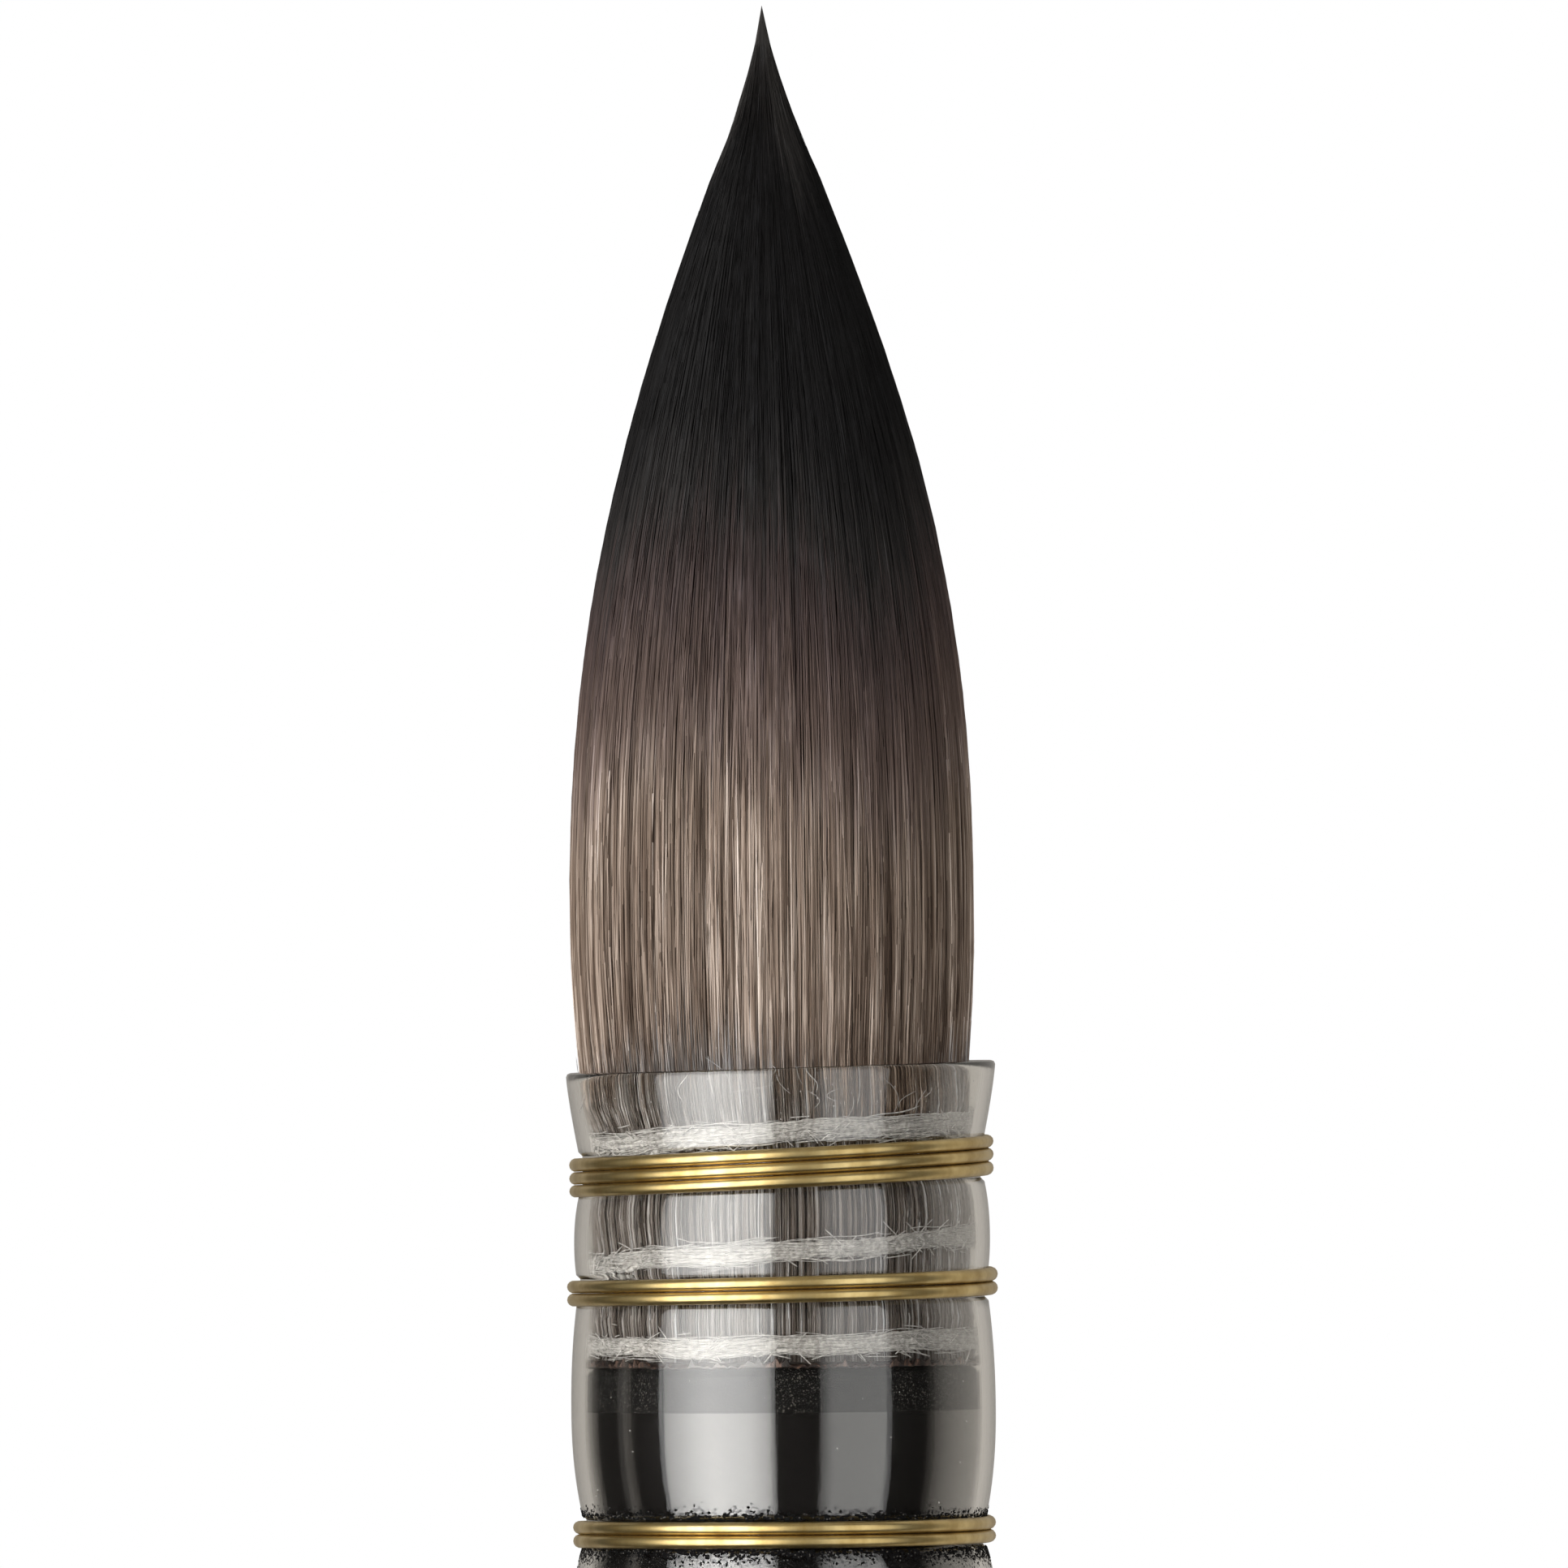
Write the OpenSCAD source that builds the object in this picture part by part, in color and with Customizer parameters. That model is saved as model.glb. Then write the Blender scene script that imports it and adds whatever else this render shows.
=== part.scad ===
// Quill mop brush: a head of soft hair tied with cotton thread, held in a clear quill that is bound with
// brass wire onto the tenon of a turned and lacquered wooden handle.
// +Z runs along the brush towards the point of the hair. The origin is on the axis, at the butt of the
// handle. Depths are measured down from the mouth of the quill.

/* [Overall] */
// Length of the hair that stands out of the quill
hair_out_l = 32; // [24:0.5:45]
// Length of the handle below the quill
handle_l = 147.4; // [115:0.2:190]
// Outer diameter of the quill where it is fullest
quill_d = 12.76; // [9:0.02:16]

/* [Quill] */
// Wall of the quill
quill_wall = 0.4; // [0.25:0.05:0.6]
// How far the rims at both ends flare out past the fullest radius
rim_flare = 0.07; // [0:0.01:0.3]
// Slant at which the mouth is cut, in degrees
mouth_slant = 1.3; // [0:0.1:3]
// Depth of the groove that the wire presses into the quill
wire_groove = 0.12; // [0.05:0.01:0.2]
// How much smaller each swelling between the bindings is than the fullest radius
swelling_loss = [0.13, 0, 0.06]; // [0:0.01:0.2]
// Exponent of the curve from a swelling to the groove beside it
swelling_curve = 2.2; // [1.5:0.1:4]
// Exponent of the curve from a rim to the groove beside it
rim_curve = 1.25; // [1:0.05:3]

/* [Wire bindings] */
// Diameter of the brass wire
wire_d = 0.4; // [0.3:0.05:0.5]
// Gap between one turn and the next
turn_gap = 0.01; // [0:0.01:0.05]
// Turns in each binding, counted from the mouth
turns = [3, 2, 2, 3]; // [1:1:3]
// Tilt of each binding, in degrees
tilt = [2, 0.4, 0, 0.5]; // [0:0.1:3]
// How far each binding draws the quill in from its fullest radius
draw_in = [0.4, 0.305, 0.425, 0.46]; // [0.2:0.005:0.6]
// Distance from the mouth to the first binding, then from each binding to the next
bind_step = [2.88, 3.63, 7.34, 4.05]; // [2.8:0.01:9]
// Distance from the last binding to the lower end of the quill
quill_tail_l = 2.7; // [2:0.1:6]
// Length of the pair of wire ends that is twisted together at the back of a binding
twist_l = 2.3; // [1.5:0.1:3]
// Thickness of that twisted pair
twist_d = 0.66; // [0.5:0.02:0.8]

/* [Hair and thread] */
// How far the belly of the head swells past its radius in the mouth
belly_swell = 0.3; // [0.1:0.05:1.5]
// Height of the belly above the mouth
belly_h = 4.7; // [2:0.1:8]
// Exponent that keeps the belly full
belly_fullness = 2.3; // [1.6:0.1:3]
// Exponent that draws the head out to a needle point
point_fineness = 1.36; // [1:0.02:2]
// Blunt radius left at the very point
point_r = 0.05; // [0.03:0.01:0.1]
// Gap between the hair and the rim of the mouth
mouth_gap = 0.25; // [0.1:0.05:0.6]
// Gap between the hair and the quill inside it
hair_gap = 0.05; // [0.03:0.01:0.15]
// Lean of the head towards -X, in degrees
hair_lean = 0.5; // [0:0.1:1]
// Diameter of the cotton thread
thread_d = 0.36; // [0.25:0.01:0.4]
// Winds of thread in a tie
thread_winds = 2; // [1:1:2]
// Distance from the mouth to the first tie, then from each tie to the next
tie_step = [1.8, 3.57, 2.76]; // [1.7:0.01:4.5]
// Tilt of each tie, in degrees
tie_tilt = [2.9, 3.6, 0.3]; // [0:0.1:4]
// Length of root hair below the last tie
root_l = 0.03; // [0.02:0.01:1]
// Thickness of the resin between the roots and the tenon
glue_t = 0.12; // [0.1:0.01:0.5]

/* [Handle] */
// How far the grip barrel stands proud of the fullest part of the quill
grip_proud = 0.62; // [0.2:0.02:3]
// Length of the plain grip barrel
grip_l = 14; // [8:0.5:25]
// Length of the neck that rises from the quill to the barrel
neck_l = 9; // [5:0.5:15]
// Diameter of the plain tail
tail_d = 6.4; // [5:0.1:8]
// Length of the plain tail
tail_l = 12; // [8:0.5:20]
// Length of the rounded butt
butt_l = 3; // [2:0.1:5]
// Diameter of the flat left on the butt by the lathe
butt_flat_d = 2; // [1:0.1:4]
// Gap between the tenon and the quill
tenon_gap = 0.04; // [0.02:0.01:0.1]
// Chamfer on the end of the tenon
tenon_chamfer = 0.25; // [0.1:0.05:0.5]

/* [Hidden] */
$fn = 96;

// Clearance that keeps touching pieces from sharing space
touch = 0.01;
// Straight stretches that draw one curve of the quill, and the head's whole outline
curve_steps = 6;
hair_steps = 26;
// Sides of a swept wire or thread, and its straight stretches in one turn
wire_sides = 6;
turn_steps = 24;
// Depths at which a stretch of the quill is sampled for its narrowest place
bore_samples = 20;
// Wires and threads start and end at the back of the brush
back_angle = 90;

quill_r = quill_d / 2;
rim_r = quill_r + rim_flare;
wire_pitch = wire_d + turn_gap;
thread_pitch = thread_d + turn_gap;

// Depth of each binding and each tie, and of the quill's lower end
bind_depth = [for (i = [0:3]) sum_to(bind_step, i)];
tie_depth = [for (i = [0:2]) sum_to(tie_step, i)];
quill_l = bind_depth[3] + quill_tail_l;
mouth_z = handle_l + quill_l;

// Radius of the quill under each binding, and half the width of the groove there
neck_r = [for (i = [0:3]) quill_r - draw_in[i]];
groove_half = [for (i = [0:3]) (turns[i] * wire_pitch + wire_d) / 2 + neck_r[i] * sin(tilt[i]) + touch];

// Inner ends of the hair, the resin and the tenon
root_depth = tie_depth[2] + tie_half_h(2) + root_l;
tenon_depth = root_depth + glue_t;

// The slanted mouth needs this much quill above its middle
slant_rise = rim_r * tan(mouth_slant);

function sum_to(list, last, i = 0) = list[i] + (i < last ? sum_to(list, last, i + 1) : 0);

// Curve from [full depth, full radius] to [groove depth, groove radius], as [depth, radius] points
function sag(full, groove, power) = [
    for (k = [0:curve_steps])
        let (t = k / curve_steps)
        [full[0] + (groove[0] - full[0]) * t, full[1] + (groove[1] - full[1]) * pow(t, power)]
];
function reversed(list) = [for (i = [len(list) - 1:-1:0]) list[i]];

// Upper (side -1) and lower (side 1) edge of a groove, where the wire has pushed the wall in
function groove_edge(i, side) = [bind_depth[i] + side * groove_half[i], neck_r[i] + wire_groove];
function groove_floor(i, side) = [bind_depth[i] + side * (groove_half[i] - wire_groove), neck_r[i]];
function swelling(i) = [(bind_depth[i] + bind_depth[i + 1]) / 2, quill_r - swelling_loss[i]];
function between(i) = concat(
    reversed(sag(swelling(i), groove_edge(i, 1), swelling_curve)),
    [for (p = sag(swelling(i), groove_edge(i + 1, -1), swelling_curve)) if (p[0] > swelling(i)[0]) p]
);
function groove(i) = [groove_floor(i, -1), groove_floor(i, 1)];

// Outer profile of the quill from mouth to lower end, as [depth, radius]
quill_profile = concat(
    [[-slant_rise, rim_r]],
    sag([0, rim_r], groove_edge(0, -1), rim_curve),
    groove(0), between(0), groove(1), between(1), groove(2), between(2), groove(3),
    reversed(sag([quill_l, rim_r], groove_edge(3, 1), rim_curve))
);

// Inner radius of the quill at a depth, and the least one over a stretch
function bore_r(depth) = lookup(depth, quill_profile) - quill_wall;
function least_bore_r(from, to) =
    min([for (k = [0:bore_samples]) bore_r(from + (to - from) * k / bore_samples)]);

// Half the height that a tie takes up, with its tilt
function tie_half_h(i) = (thread_winds * thread_pitch + thread_d) / 2 + quill_r * sin(tie_tilt[i]);
// Radius of the middle of the thread in each tie
function tie_r(i) =
    least_bore_r(tie_depth[i] - tie_half_h(i), tie_depth[i] + tie_half_h(i))
    - hair_gap - thread_d / 2 - tilt_shift(thread_winds * thread_pitch, tie_tilt[i]);
// Radius that a tilted binding's wire has to clear
function bind_r(i) = neck_r[i] + tilt_shift(turns[i] * wire_pitch, tilt[i]);
// Sideways shift of the first and last turn of a coil of length l that is tilted by a
function tilt_shift(l, a) = l / 2 * sin(a);

// Half-outline of the head above the mouth, as [radius, height]
mouth_hair_r = bore_r(0) - mouth_gap;
belly_r = mouth_hair_r + belly_swell;
function head_r(h) = h < belly_h ? lower_head_r(h) : max(point_r, upper_head_r(h));
function lower_head_r(h) = belly_r - belly_swell * pow((belly_h - h) / belly_h, 2);
function upper_head_r(h) =
    let (share = (h - belly_h) / (hair_out_l - belly_h))
    belly_r * pow(1 - pow(share, belly_fullness), point_fineness);

// The depths at which the quill's profile turns, with a start and an end added
function turns_between(from, to) =
    concat([from], [for (p = quill_profile) if (p[0] > from + touch && p[0] < to - touch) p[0]], [to]);

// Radius of the middle of a wire of diameter d whose flats clear a tube of radius r
function coil_r(r, d) = (r + d / 2 + touch) / cos(180 / turn_steps);

// Helical sweep of such a wire about +Z, centred on z = 0
module coil(r, d, winds, pitch) {
    steps = winds * turn_steps;
    points = [
        for (k = [0:steps], s = [0:wire_sides - 1])
            let (
                a = back_angle + 360 * k / turn_steps,
                b = 360 * s / wire_sides,
                out = coil_r(r, d) + d / 2 * cos(b)
            )
            [out * cos(a), out * sin(a), pitch * (k / turn_steps - winds / 2) + d / 2 * sin(b)]
    ];
    sides = [
        for (k = [0:steps - 1], s = [0:wire_sides - 1])
            let (
                here = k * wire_sides,
                next = here + wire_sides,
                t = (s + 1) % wire_sides
            )
            [here + t, next + t, next + s, here + s]
    ];
    start = [for (s = [wire_sides - 1:-1:0]) s];
    end = [for (s = [0:wire_sides - 1]) steps * wire_sides + s];
    polyhedron(points, concat([start, end], sides));
}

// The two ends of a binding's wire, twisted together and laid flat against its turns
module wire_twist(r) {
    straight = twist_l - twist_d;
    translate([0, r, -straight / 2]) cylinder(h = straight, d = twist_d, $fn = 24);
    for (end = [-1, 1])
        translate([0, r, end * straight / 2]) sphere(d = twist_d, $fn = 24);
}

module wire_binding(i) {
    color("goldenrod")
        translate([0, 0, mouth_z - bind_depth[i]]) rotate([0, -tilt[i], 0]) {
            coil(bind_r(i), wire_d, turns[i], wire_pitch);
            wire_twist(coil_r(bind_r(i), wire_d) + wire_d / 2 + touch + twist_d / 2);
        }
}

module thread_tie(i) {
    color("ivory")
        translate([0, 0, mouth_z - tie_depth[i]]) rotate([0, -tie_tilt[i], 0])
            coil(tie_r(i) - thread_d / 2, thread_d, thread_winds, thread_pitch);
}

// Ring of space that a tie takes out of the hair
module tie_space(i) {
    half_h = (thread_winds * thread_pitch + thread_d) / 2 + 2 * touch;
    translate([0, 0, mouth_z - tie_depth[i]]) rotate([0, -tie_tilt[i], 0])
        rotate_extrude()
            translate([tie_r(i) - thread_d / 2, -half_h]) square([quill_r, 2 * half_h]);
}

module quill() {
    outer = [for (p = quill_profile) [p[1], mouth_z - p[0]]];
    inner = [for (p = reversed(quill_profile)) [p[1] - quill_wall, mouth_z - p[0]]];
    color("lightgray", 0.4)
        difference() {
            rotate_extrude() polygon(concat(outer, inner));
            translate([0, 0, mouth_z]) rotate([0, -mouth_slant, 0])
                cylinder(h = rim_r, r = 2 * rim_r);
        }
}

// Hair inside the quill, which fills it down to the glued roots
module hair_root() {
    depths = turns_between(0, root_depth);
    outline = [
        for (d = depths) [d == 0 ? mouth_hair_r : min(mouth_hair_r, bore_r(d) - hair_gap), mouth_z - d]
    ];
    difference() {
        rotate_extrude() polygon(concat([[0, mouth_z]], outline, [[0, mouth_z - root_depth]]));
        for (i = [0:2]) tie_space(i);
    }
}

module hair_bundle() {
    outline = [for (k = [0:hair_steps]) let (h = hair_out_l * k / hair_steps) [head_r(h), h]];
    color("dimgray") {
        hair_root();
        translate([0, 0, mouth_z]) rotate([0, -hair_lean, 0])
            rotate_extrude() polygon(concat([[0, 0]], outline, [[0, hair_out_l]]));
    }
}

module root_glue() {
    color("saddlebrown")
        translate([0, 0, mouth_z - tenon_depth + touch])
            cylinder(h = glue_t - 2 * touch, r = least_bore_r(root_depth, tenon_depth) - hair_gap);
}

// Eases from 0 to 1
function swell(t) = t * t * (3 - 2 * t);

module handle() {
    grip_r = quill_r + grip_proud;
    tail_r = tail_d / 2;
    tail_z = butt_l + tail_l;
    neck_z = handle_l - neck_l;
    grip_z = neck_z - grip_l;
    tenon = [
        for (d = turns_between(tenon_depth + tenon_chamfer, quill_l))
            [bore_r(d) - tenon_gap, mouth_z - d]
    ];
    butt = [
        for (a = [0:15:90])
            [butt_flat_d / 2 + (tail_r - butt_flat_d / 2) * sin(a), butt_l * (1 - cos(a))]
    ];
    // The body swells from the tail to the grip and eases into both
    body = [
        for (t = [0.08:0.08:0.96])
            [tail_r + (grip_r - tail_r) * swell(t), tail_z + (grip_z - tail_z) * t]
    ];
    neck = [
        for (t = [0:0.2:1])
            [grip_r + (rim_r - grip_r) * (1 - cos(180 * t)) / 2, neck_z + (handle_l - touch - neck_z) * t]
    ];
    top = mouth_z - tenon_depth;
    color("black")
        rotate_extrude()
            polygon(concat(
                [[0, 0]], butt, [[tail_r, tail_z]], body, [[grip_r, grip_z]], neck,
                [[tenon[len(tenon) - 1][0], handle_l - touch]], reversed(tenon),
                [[tenon[0][0] - tenon_chamfer, top], [0, top]]
            ));
}

module thread_tie_upper() { thread_tie(0); }
module thread_tie_middle() { thread_tie(1); }
module thread_tie_lower() { thread_tie(2); }
module wire_binding_1() { wire_binding(0); }
module wire_binding_2() { wire_binding(1); }
module wire_binding_3() { wire_binding(2); }
module wire_binding_4() { wire_binding(3); }

hair_bundle();
root_glue();
thread_tie_upper();
thread_tie_middle();
thread_tie_lower();
quill();
wire_binding_1();
wire_binding_2();
wire_binding_3();
wire_binding_4();
handle();
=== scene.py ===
# %% [markdown]
# # A quill mop brush
# This lesson builds the looks of a large watercolour brush around a model that already holds its sizes.
# The brush is a head of soft squirrel-type hair, tied with cotton thread and slipped into a clear quill.
# Brass wire binds the quill, first round the hair and then round the tenon of a black wooden handle.
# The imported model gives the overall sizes, and every piece here takes its place from them.

import math

import bpy
import numpy as np
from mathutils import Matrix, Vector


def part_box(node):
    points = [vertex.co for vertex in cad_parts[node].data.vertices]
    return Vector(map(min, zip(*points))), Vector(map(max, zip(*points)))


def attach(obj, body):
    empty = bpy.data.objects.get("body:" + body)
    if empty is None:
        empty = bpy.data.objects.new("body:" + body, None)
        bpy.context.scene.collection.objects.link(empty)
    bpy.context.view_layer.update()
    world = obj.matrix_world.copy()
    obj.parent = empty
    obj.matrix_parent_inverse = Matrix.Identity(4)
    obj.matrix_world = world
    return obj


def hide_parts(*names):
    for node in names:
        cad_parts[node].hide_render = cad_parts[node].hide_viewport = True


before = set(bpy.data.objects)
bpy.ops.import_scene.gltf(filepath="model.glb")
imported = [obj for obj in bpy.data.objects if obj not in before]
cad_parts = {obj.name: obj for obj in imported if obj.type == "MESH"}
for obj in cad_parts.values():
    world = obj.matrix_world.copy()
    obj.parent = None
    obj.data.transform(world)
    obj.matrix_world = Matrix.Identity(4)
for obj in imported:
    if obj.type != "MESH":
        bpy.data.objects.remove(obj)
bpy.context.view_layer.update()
MM = 0.001

# %% [markdown]
# ## Sizes that the pieces share
# Depths are measured down from the mouth of the quill, and heights above it are negative depths.
# The quill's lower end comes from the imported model, and the lengths below are the ones a brush maker
# would note down: where each wire binding and each thread tie sits, and how far it tilts.

# %% Places along the brush
QUILL_L = 20.6 * MM
HAIR_OUT_L = 32.0 * MM
MOUTH_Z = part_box("quill")[0][2] + QUILL_L

WIRE_R = 0.2 * MM
QUILL_WALL = 0.4 * MM
BIND_DEPTHS = np.array([2.88, 6.51, 13.85, 17.9]) * MM
BIND_TURNS = [3, 2, 2, 3]
BIND_NECK_R = np.array([5.98, 6.075, 5.955, 5.92]) * MM
TIE_DEPTHS = np.array([1.80, 5.37, 8.20]) * MM
TIE_TILTS = np.radians([2.9, 3.6, 0.3])
print("mouth of the quill at", round(MOUTH_Z / MM, 2), "mm")

# %% [markdown]
# ## Helpers for modelling
# Operators act on whatever is selected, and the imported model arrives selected, so every new piece
# starts from an empty selection. Turned pieces are drawn as a chain of points, extruded one by one
# from a single vertex, and spun about the brush's axis, which is what a lathe does to wood.


# %% Start clean and turn an outline
def deselect():
    if bpy.context.mode != "OBJECT":
        bpy.ops.object.mode_set(mode="OBJECT")
    bpy.ops.object.select_all(action="DESELECT")


def turn(name, outline, segments):
    """Spins a chain of (radius, z) points about +Z and closes its seam and poles."""
    deselect()
    bpy.ops.mesh.primitive_plane_add(size=MM)
    piece = bpy.context.active_object
    piece.name = name
    bpy.ops.object.mode_set(mode="EDIT")
    bpy.ops.mesh.select_mode(type="VERT")
    bpy.ops.mesh.merge(type="CENTER")
    last = (0.0, 0.0)
    for index, point in enumerate(outline):
        step = (point[0] - last[0], 0, point[1] - last[1])
        if index == 0:
            bpy.ops.transform.translate(value=step)
        else:
            bpy.ops.mesh.extrude_region_move(TRANSFORM_OT_translate={"value": step})
        last = point
    bpy.ops.mesh.select_all(action="SELECT")
    bpy.ops.mesh.spin(steps=segments, angle=2 * math.pi, center=(0, 0, 0), axis=(0, 0, 1))
    bpy.ops.mesh.select_all(action="SELECT")
    bpy.ops.mesh.remove_doubles(threshold=MM / 1000)
    bpy.ops.mesh.normals_make_consistent(inside=False)
    bpy.ops.object.mode_set(mode="OBJECT")
    bpy.ops.object.shade_smooth_by_angle(angle=math.radians(40))
    print(name, "turned with", len(piece.data.polygons), "faces")
    return piece


def coordinates(piece):
    """A piece's vertices as an array with one row each."""
    flat = np.empty(len(piece.data.vertices) * 3)
    piece.data.vertices.foreach_get("co", flat)
    return flat.reshape(-1, 3)


def move_points(piece, points):
    piece.data.vertices.foreach_set("co", points.ravel())
    piece.data.update()


# %% [markdown]
# ## Helpers for threads and hairs
# A hair, a ply of thread and a stray fibre are all thin tubes that follow a path. Thousands of them
# are needed, which would be slow work for operators, so they are swept together with arrays. Each has
# only a few sides and is closed at both ends.


# %% Sweep many thin tubes at once
def unit(vectors):
    return vectors / np.maximum(np.linalg.norm(vectors, axis=-1, keepdims=True), 1e-12)


def sweep(name, paths, radii, outward, sides):
    """Tubes along paths (tube, point, xyz) with radii (tube, point). outward leads away from the axis."""
    tubes, rings = paths.shape[:2]
    along = unit(np.gradient(paths, axis=1))
    across = unit(np.cross(along, outward))
    out = np.cross(across, along)
    turn_angle = np.arange(sides) * 2 * math.pi / sides + math.pi / 2
    circle = (
        across[:, :, None] * np.cos(turn_angle)[:, None] + out[:, :, None] * np.sin(turn_angle)[:, None]
    )
    points = paths[:, :, None] + circle * radii[:, :, None, None]
    first = (np.arange(tubes) * rings * sides)[:, None, None]
    ring = (np.arange(rings - 1) * sides)[None, :, None]
    side = np.arange(sides)
    here, there = side[None, None, :], ((side + 1) % sides)[None, None, :]
    base = first + ring
    quads = np.stack([base + here, base + there, base + there + sides, base + here + sides], axis=-1)
    first = first[:, 0, :]
    roots = first + side[::-1]
    tips = first + (rings - 1) * sides + side
    mesh = bpy.data.meshes.new(name)
    faces = quads.reshape(-1, 4).tolist() + roots.tolist() + tips.tolist()
    mesh.from_pydata(points.reshape(-1, 3).tolist(), [], faces)
    mesh.polygons.foreach_set("use_smooth", np.ones(len(faces), dtype=bool))
    piece = bpy.data.objects.new(name, mesh)
    bpy.context.collection.objects.link(piece)
    print(name, "swept:", tubes, "tubes,", len(faces), "faces")
    return piece


def lay_out_hairs(piece, columns, heights, sides, width):
    """Gives each tube a narrow column of the map OFBake: u is its column, v the height of each ring."""
    tubes, rings = heights.shape
    corner_u = np.array([0, 1, 1, 0])
    side = np.arange(sides)[:, None]
    u = columns[:, None, None, None] + ((side + corner_u) / sides - 0.5)[None, None] * width
    u = np.broadcast_to(u, (tubes, rings - 1, sides, 4))
    low, high = heights[:, :-1, None], heights[:, 1:, None]
    v = np.stack([low, low, high, high], axis=-1)
    v = np.broadcast_to(v, (tubes, rings - 1, sides, 4))
    cap_u = columns[:, None] + (np.arange(sides) / sides - 0.5) * width
    cap_v = (np.arange(sides) % 2) * width * 0.1
    ends_u = np.concatenate([cap_u, cap_u])
    ends_v = np.concatenate([heights[:, :1] + cap_v, heights[:, -1:] + cap_v])
    flat_u = np.concatenate([u.ravel(), ends_u.ravel()])
    flat_v = np.concatenate([v.ravel(), ends_v.ravel()])
    layer = piece.data.uv_layers.new(name="OFBake")
    layer.uv.foreach_set("vector", np.stack([flat_u, flat_v], axis=1).ravel())


# %% [markdown]
# ## Helpers for materials
# Colours are written as the sRGB hex values that a paint program shows, and one function turns them
# into the linear values that the renderer works in. A second small function adds a node with its
# settings and its links, so that a material reads from top to bottom.


# %% Colours and nodes
def colour(hex_value):
    channels = [int(hex_value[k : k + 2], 16) / 255 for k in (0, 2, 4)]
    linear = [c / 12.92 if c <= 0.04045 else ((c + 0.055) / 1.055) ** 2.4 for c in channels]
    return (*linear, 1.0)


def new_material(name):
    made = bpy.data.materials.new(name)
    made.use_nodes = True
    made.node_tree.nodes.clear()
    return made, made.node_tree


def add(tree, kind, inputs=None, **settings):
    """Adds one node. An input given as a socket is linked, and any other value is set on the input."""
    made = tree.nodes.new(kind)
    for key, value in settings.items():
        setattr(made, key, value)
    for key, value in (inputs or {}).items():
        if isinstance(value, bpy.types.NodeSocket):
            tree.links.new(value, made.inputs[key])
        else:
            made.inputs[key].default_value = value
    return made


def set_stops(ramp, stops):
    """Gives a colour ramp its (place, colour) stops."""
    elements = ramp.color_ramp.elements
    while len(elements) < len(stops):
        elements.new(1.0)
    for element, (place, value) in zip(elements, stops):
        element.position = place
        element.color = value


# %% [markdown]
# ## Shape of the quill
# The quill is a clear tube that was softened, pushed over hair and tenon, and bound while it set. It
# swells a little between the bindings and is drawn in under the wire. A curve of power 2.2 from each
# swelling to the groove beside it gives that taut look. The mouth flares like a small trumpet.

# %% Profile of the quill
QUILL_R = 6.38 * MM
RIM_R = QUILL_R + 0.07 * MM
GROOVE_STEP = 0.12 * MM
GROOVE_SLACK = 0.06 * MM
TURN_SPACING = 1.025
SWELLING_POWER = 2.2
RIM_POWER = 1.25
SWELLING_DEPTHS = np.array([5.1, 10.2, 15.9]) * MM
SWELLING_R = QUILL_R - np.array([0.13, 0.0, 0.06]) * MM
GROOVE_HALF = np.array([turns * TURN_SPACING * WIRE_R for turns in BIND_TURNS]) + GROOVE_SLACK


def sag(full, groove, power, steps=14):
    """Points from (full depth, radius) to (groove depth, radius), steeper towards the groove."""
    t = np.linspace(0, 1, steps)
    depth = full[0] + (groove[0] - full[0]) * t
    return list(zip(depth, full[1] + (groove[1] - full[1]) * t**power))


def quill_profile():
    """(depth, radius) points of the quill's outside, from the mouth to the lower end."""
    edge_r = BIND_NECK_R + GROOVE_STEP
    points = sag((0, RIM_R), (BIND_DEPTHS[0] - GROOVE_HALF[0], edge_r[0]), RIM_POWER)
    for i, depth in enumerate(BIND_DEPTHS):
        below = (depth + GROOVE_HALF[i], edge_r[i])
        floor = GROOVE_HALF[i] - GROOVE_STEP
        points += [(depth - floor, BIND_NECK_R[i]), (depth + floor, BIND_NECK_R[i])]
        if i < len(SWELLING_DEPTHS):
            full = (SWELLING_DEPTHS[i], SWELLING_R[i])
            above = (BIND_DEPTHS[i + 1] - GROOVE_HALF[i + 1], edge_r[i + 1])
            points += sag(full, below, SWELLING_POWER)[::-1]
            points += sag(full, above, SWELLING_POWER)[1:]
        else:
            points += sag((QUILL_L, RIM_R), below, RIM_POWER)[::-1]
    return np.array(points)


PROFILE = quill_profile()


def quill_r(depth):
    return np.interp(depth, PROFILE[:, 0], PROFILE[:, 1])


print("quill profile has", len(PROFILE), "points")

# %% [markdown]
# ## Tilt and unevenness by hand
# Nothing on a hand-bound brush is quite square. The mouth is cut at a slant, the first binding climbs
# to the right and the others less so. One function gives that tilt at any depth, and quill and wire
# both use it, so the wire always lies in its groove.

# %% Tilt at a depth
TILT_DEPTHS = np.concatenate([[0], BIND_DEPTHS, [QUILL_L]])
TILTS = np.radians([1.3, 2.0, 0.3, -0.7, 0.5, 0.0])


def tilted(points):
    """Raises points on the +X side and lowers those on the -X side by the tilt at their depth."""
    slope = np.tan(np.interp(MOUTH_Z - points[:, 2], TILT_DEPTHS, TILTS))
    lifted = points.copy()
    lifted[:, 2] += points[:, 0] * slope
    return lifted


# %% [markdown]
# ## The clear quill
# A tube seen through its own wall needs both of its faces, because light bends at each. The outline
# runs down the outside and back up the inside, 0.4 mm in, and each rim is rounded by four points.

# %% Turn the quill
RIM_ROUND = 0.12 * MM


def rounded_rim(depth, radius, towards):
    """Two points that round the outer corner of a rim. The inner corner mirrors them."""
    end = depth + towards * RIM_ROUND
    return [(radius - 0.3 * RIM_ROUND, depth + towards * 0.7 * RIM_ROUND), (radius - RIM_ROUND, end)]


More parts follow.
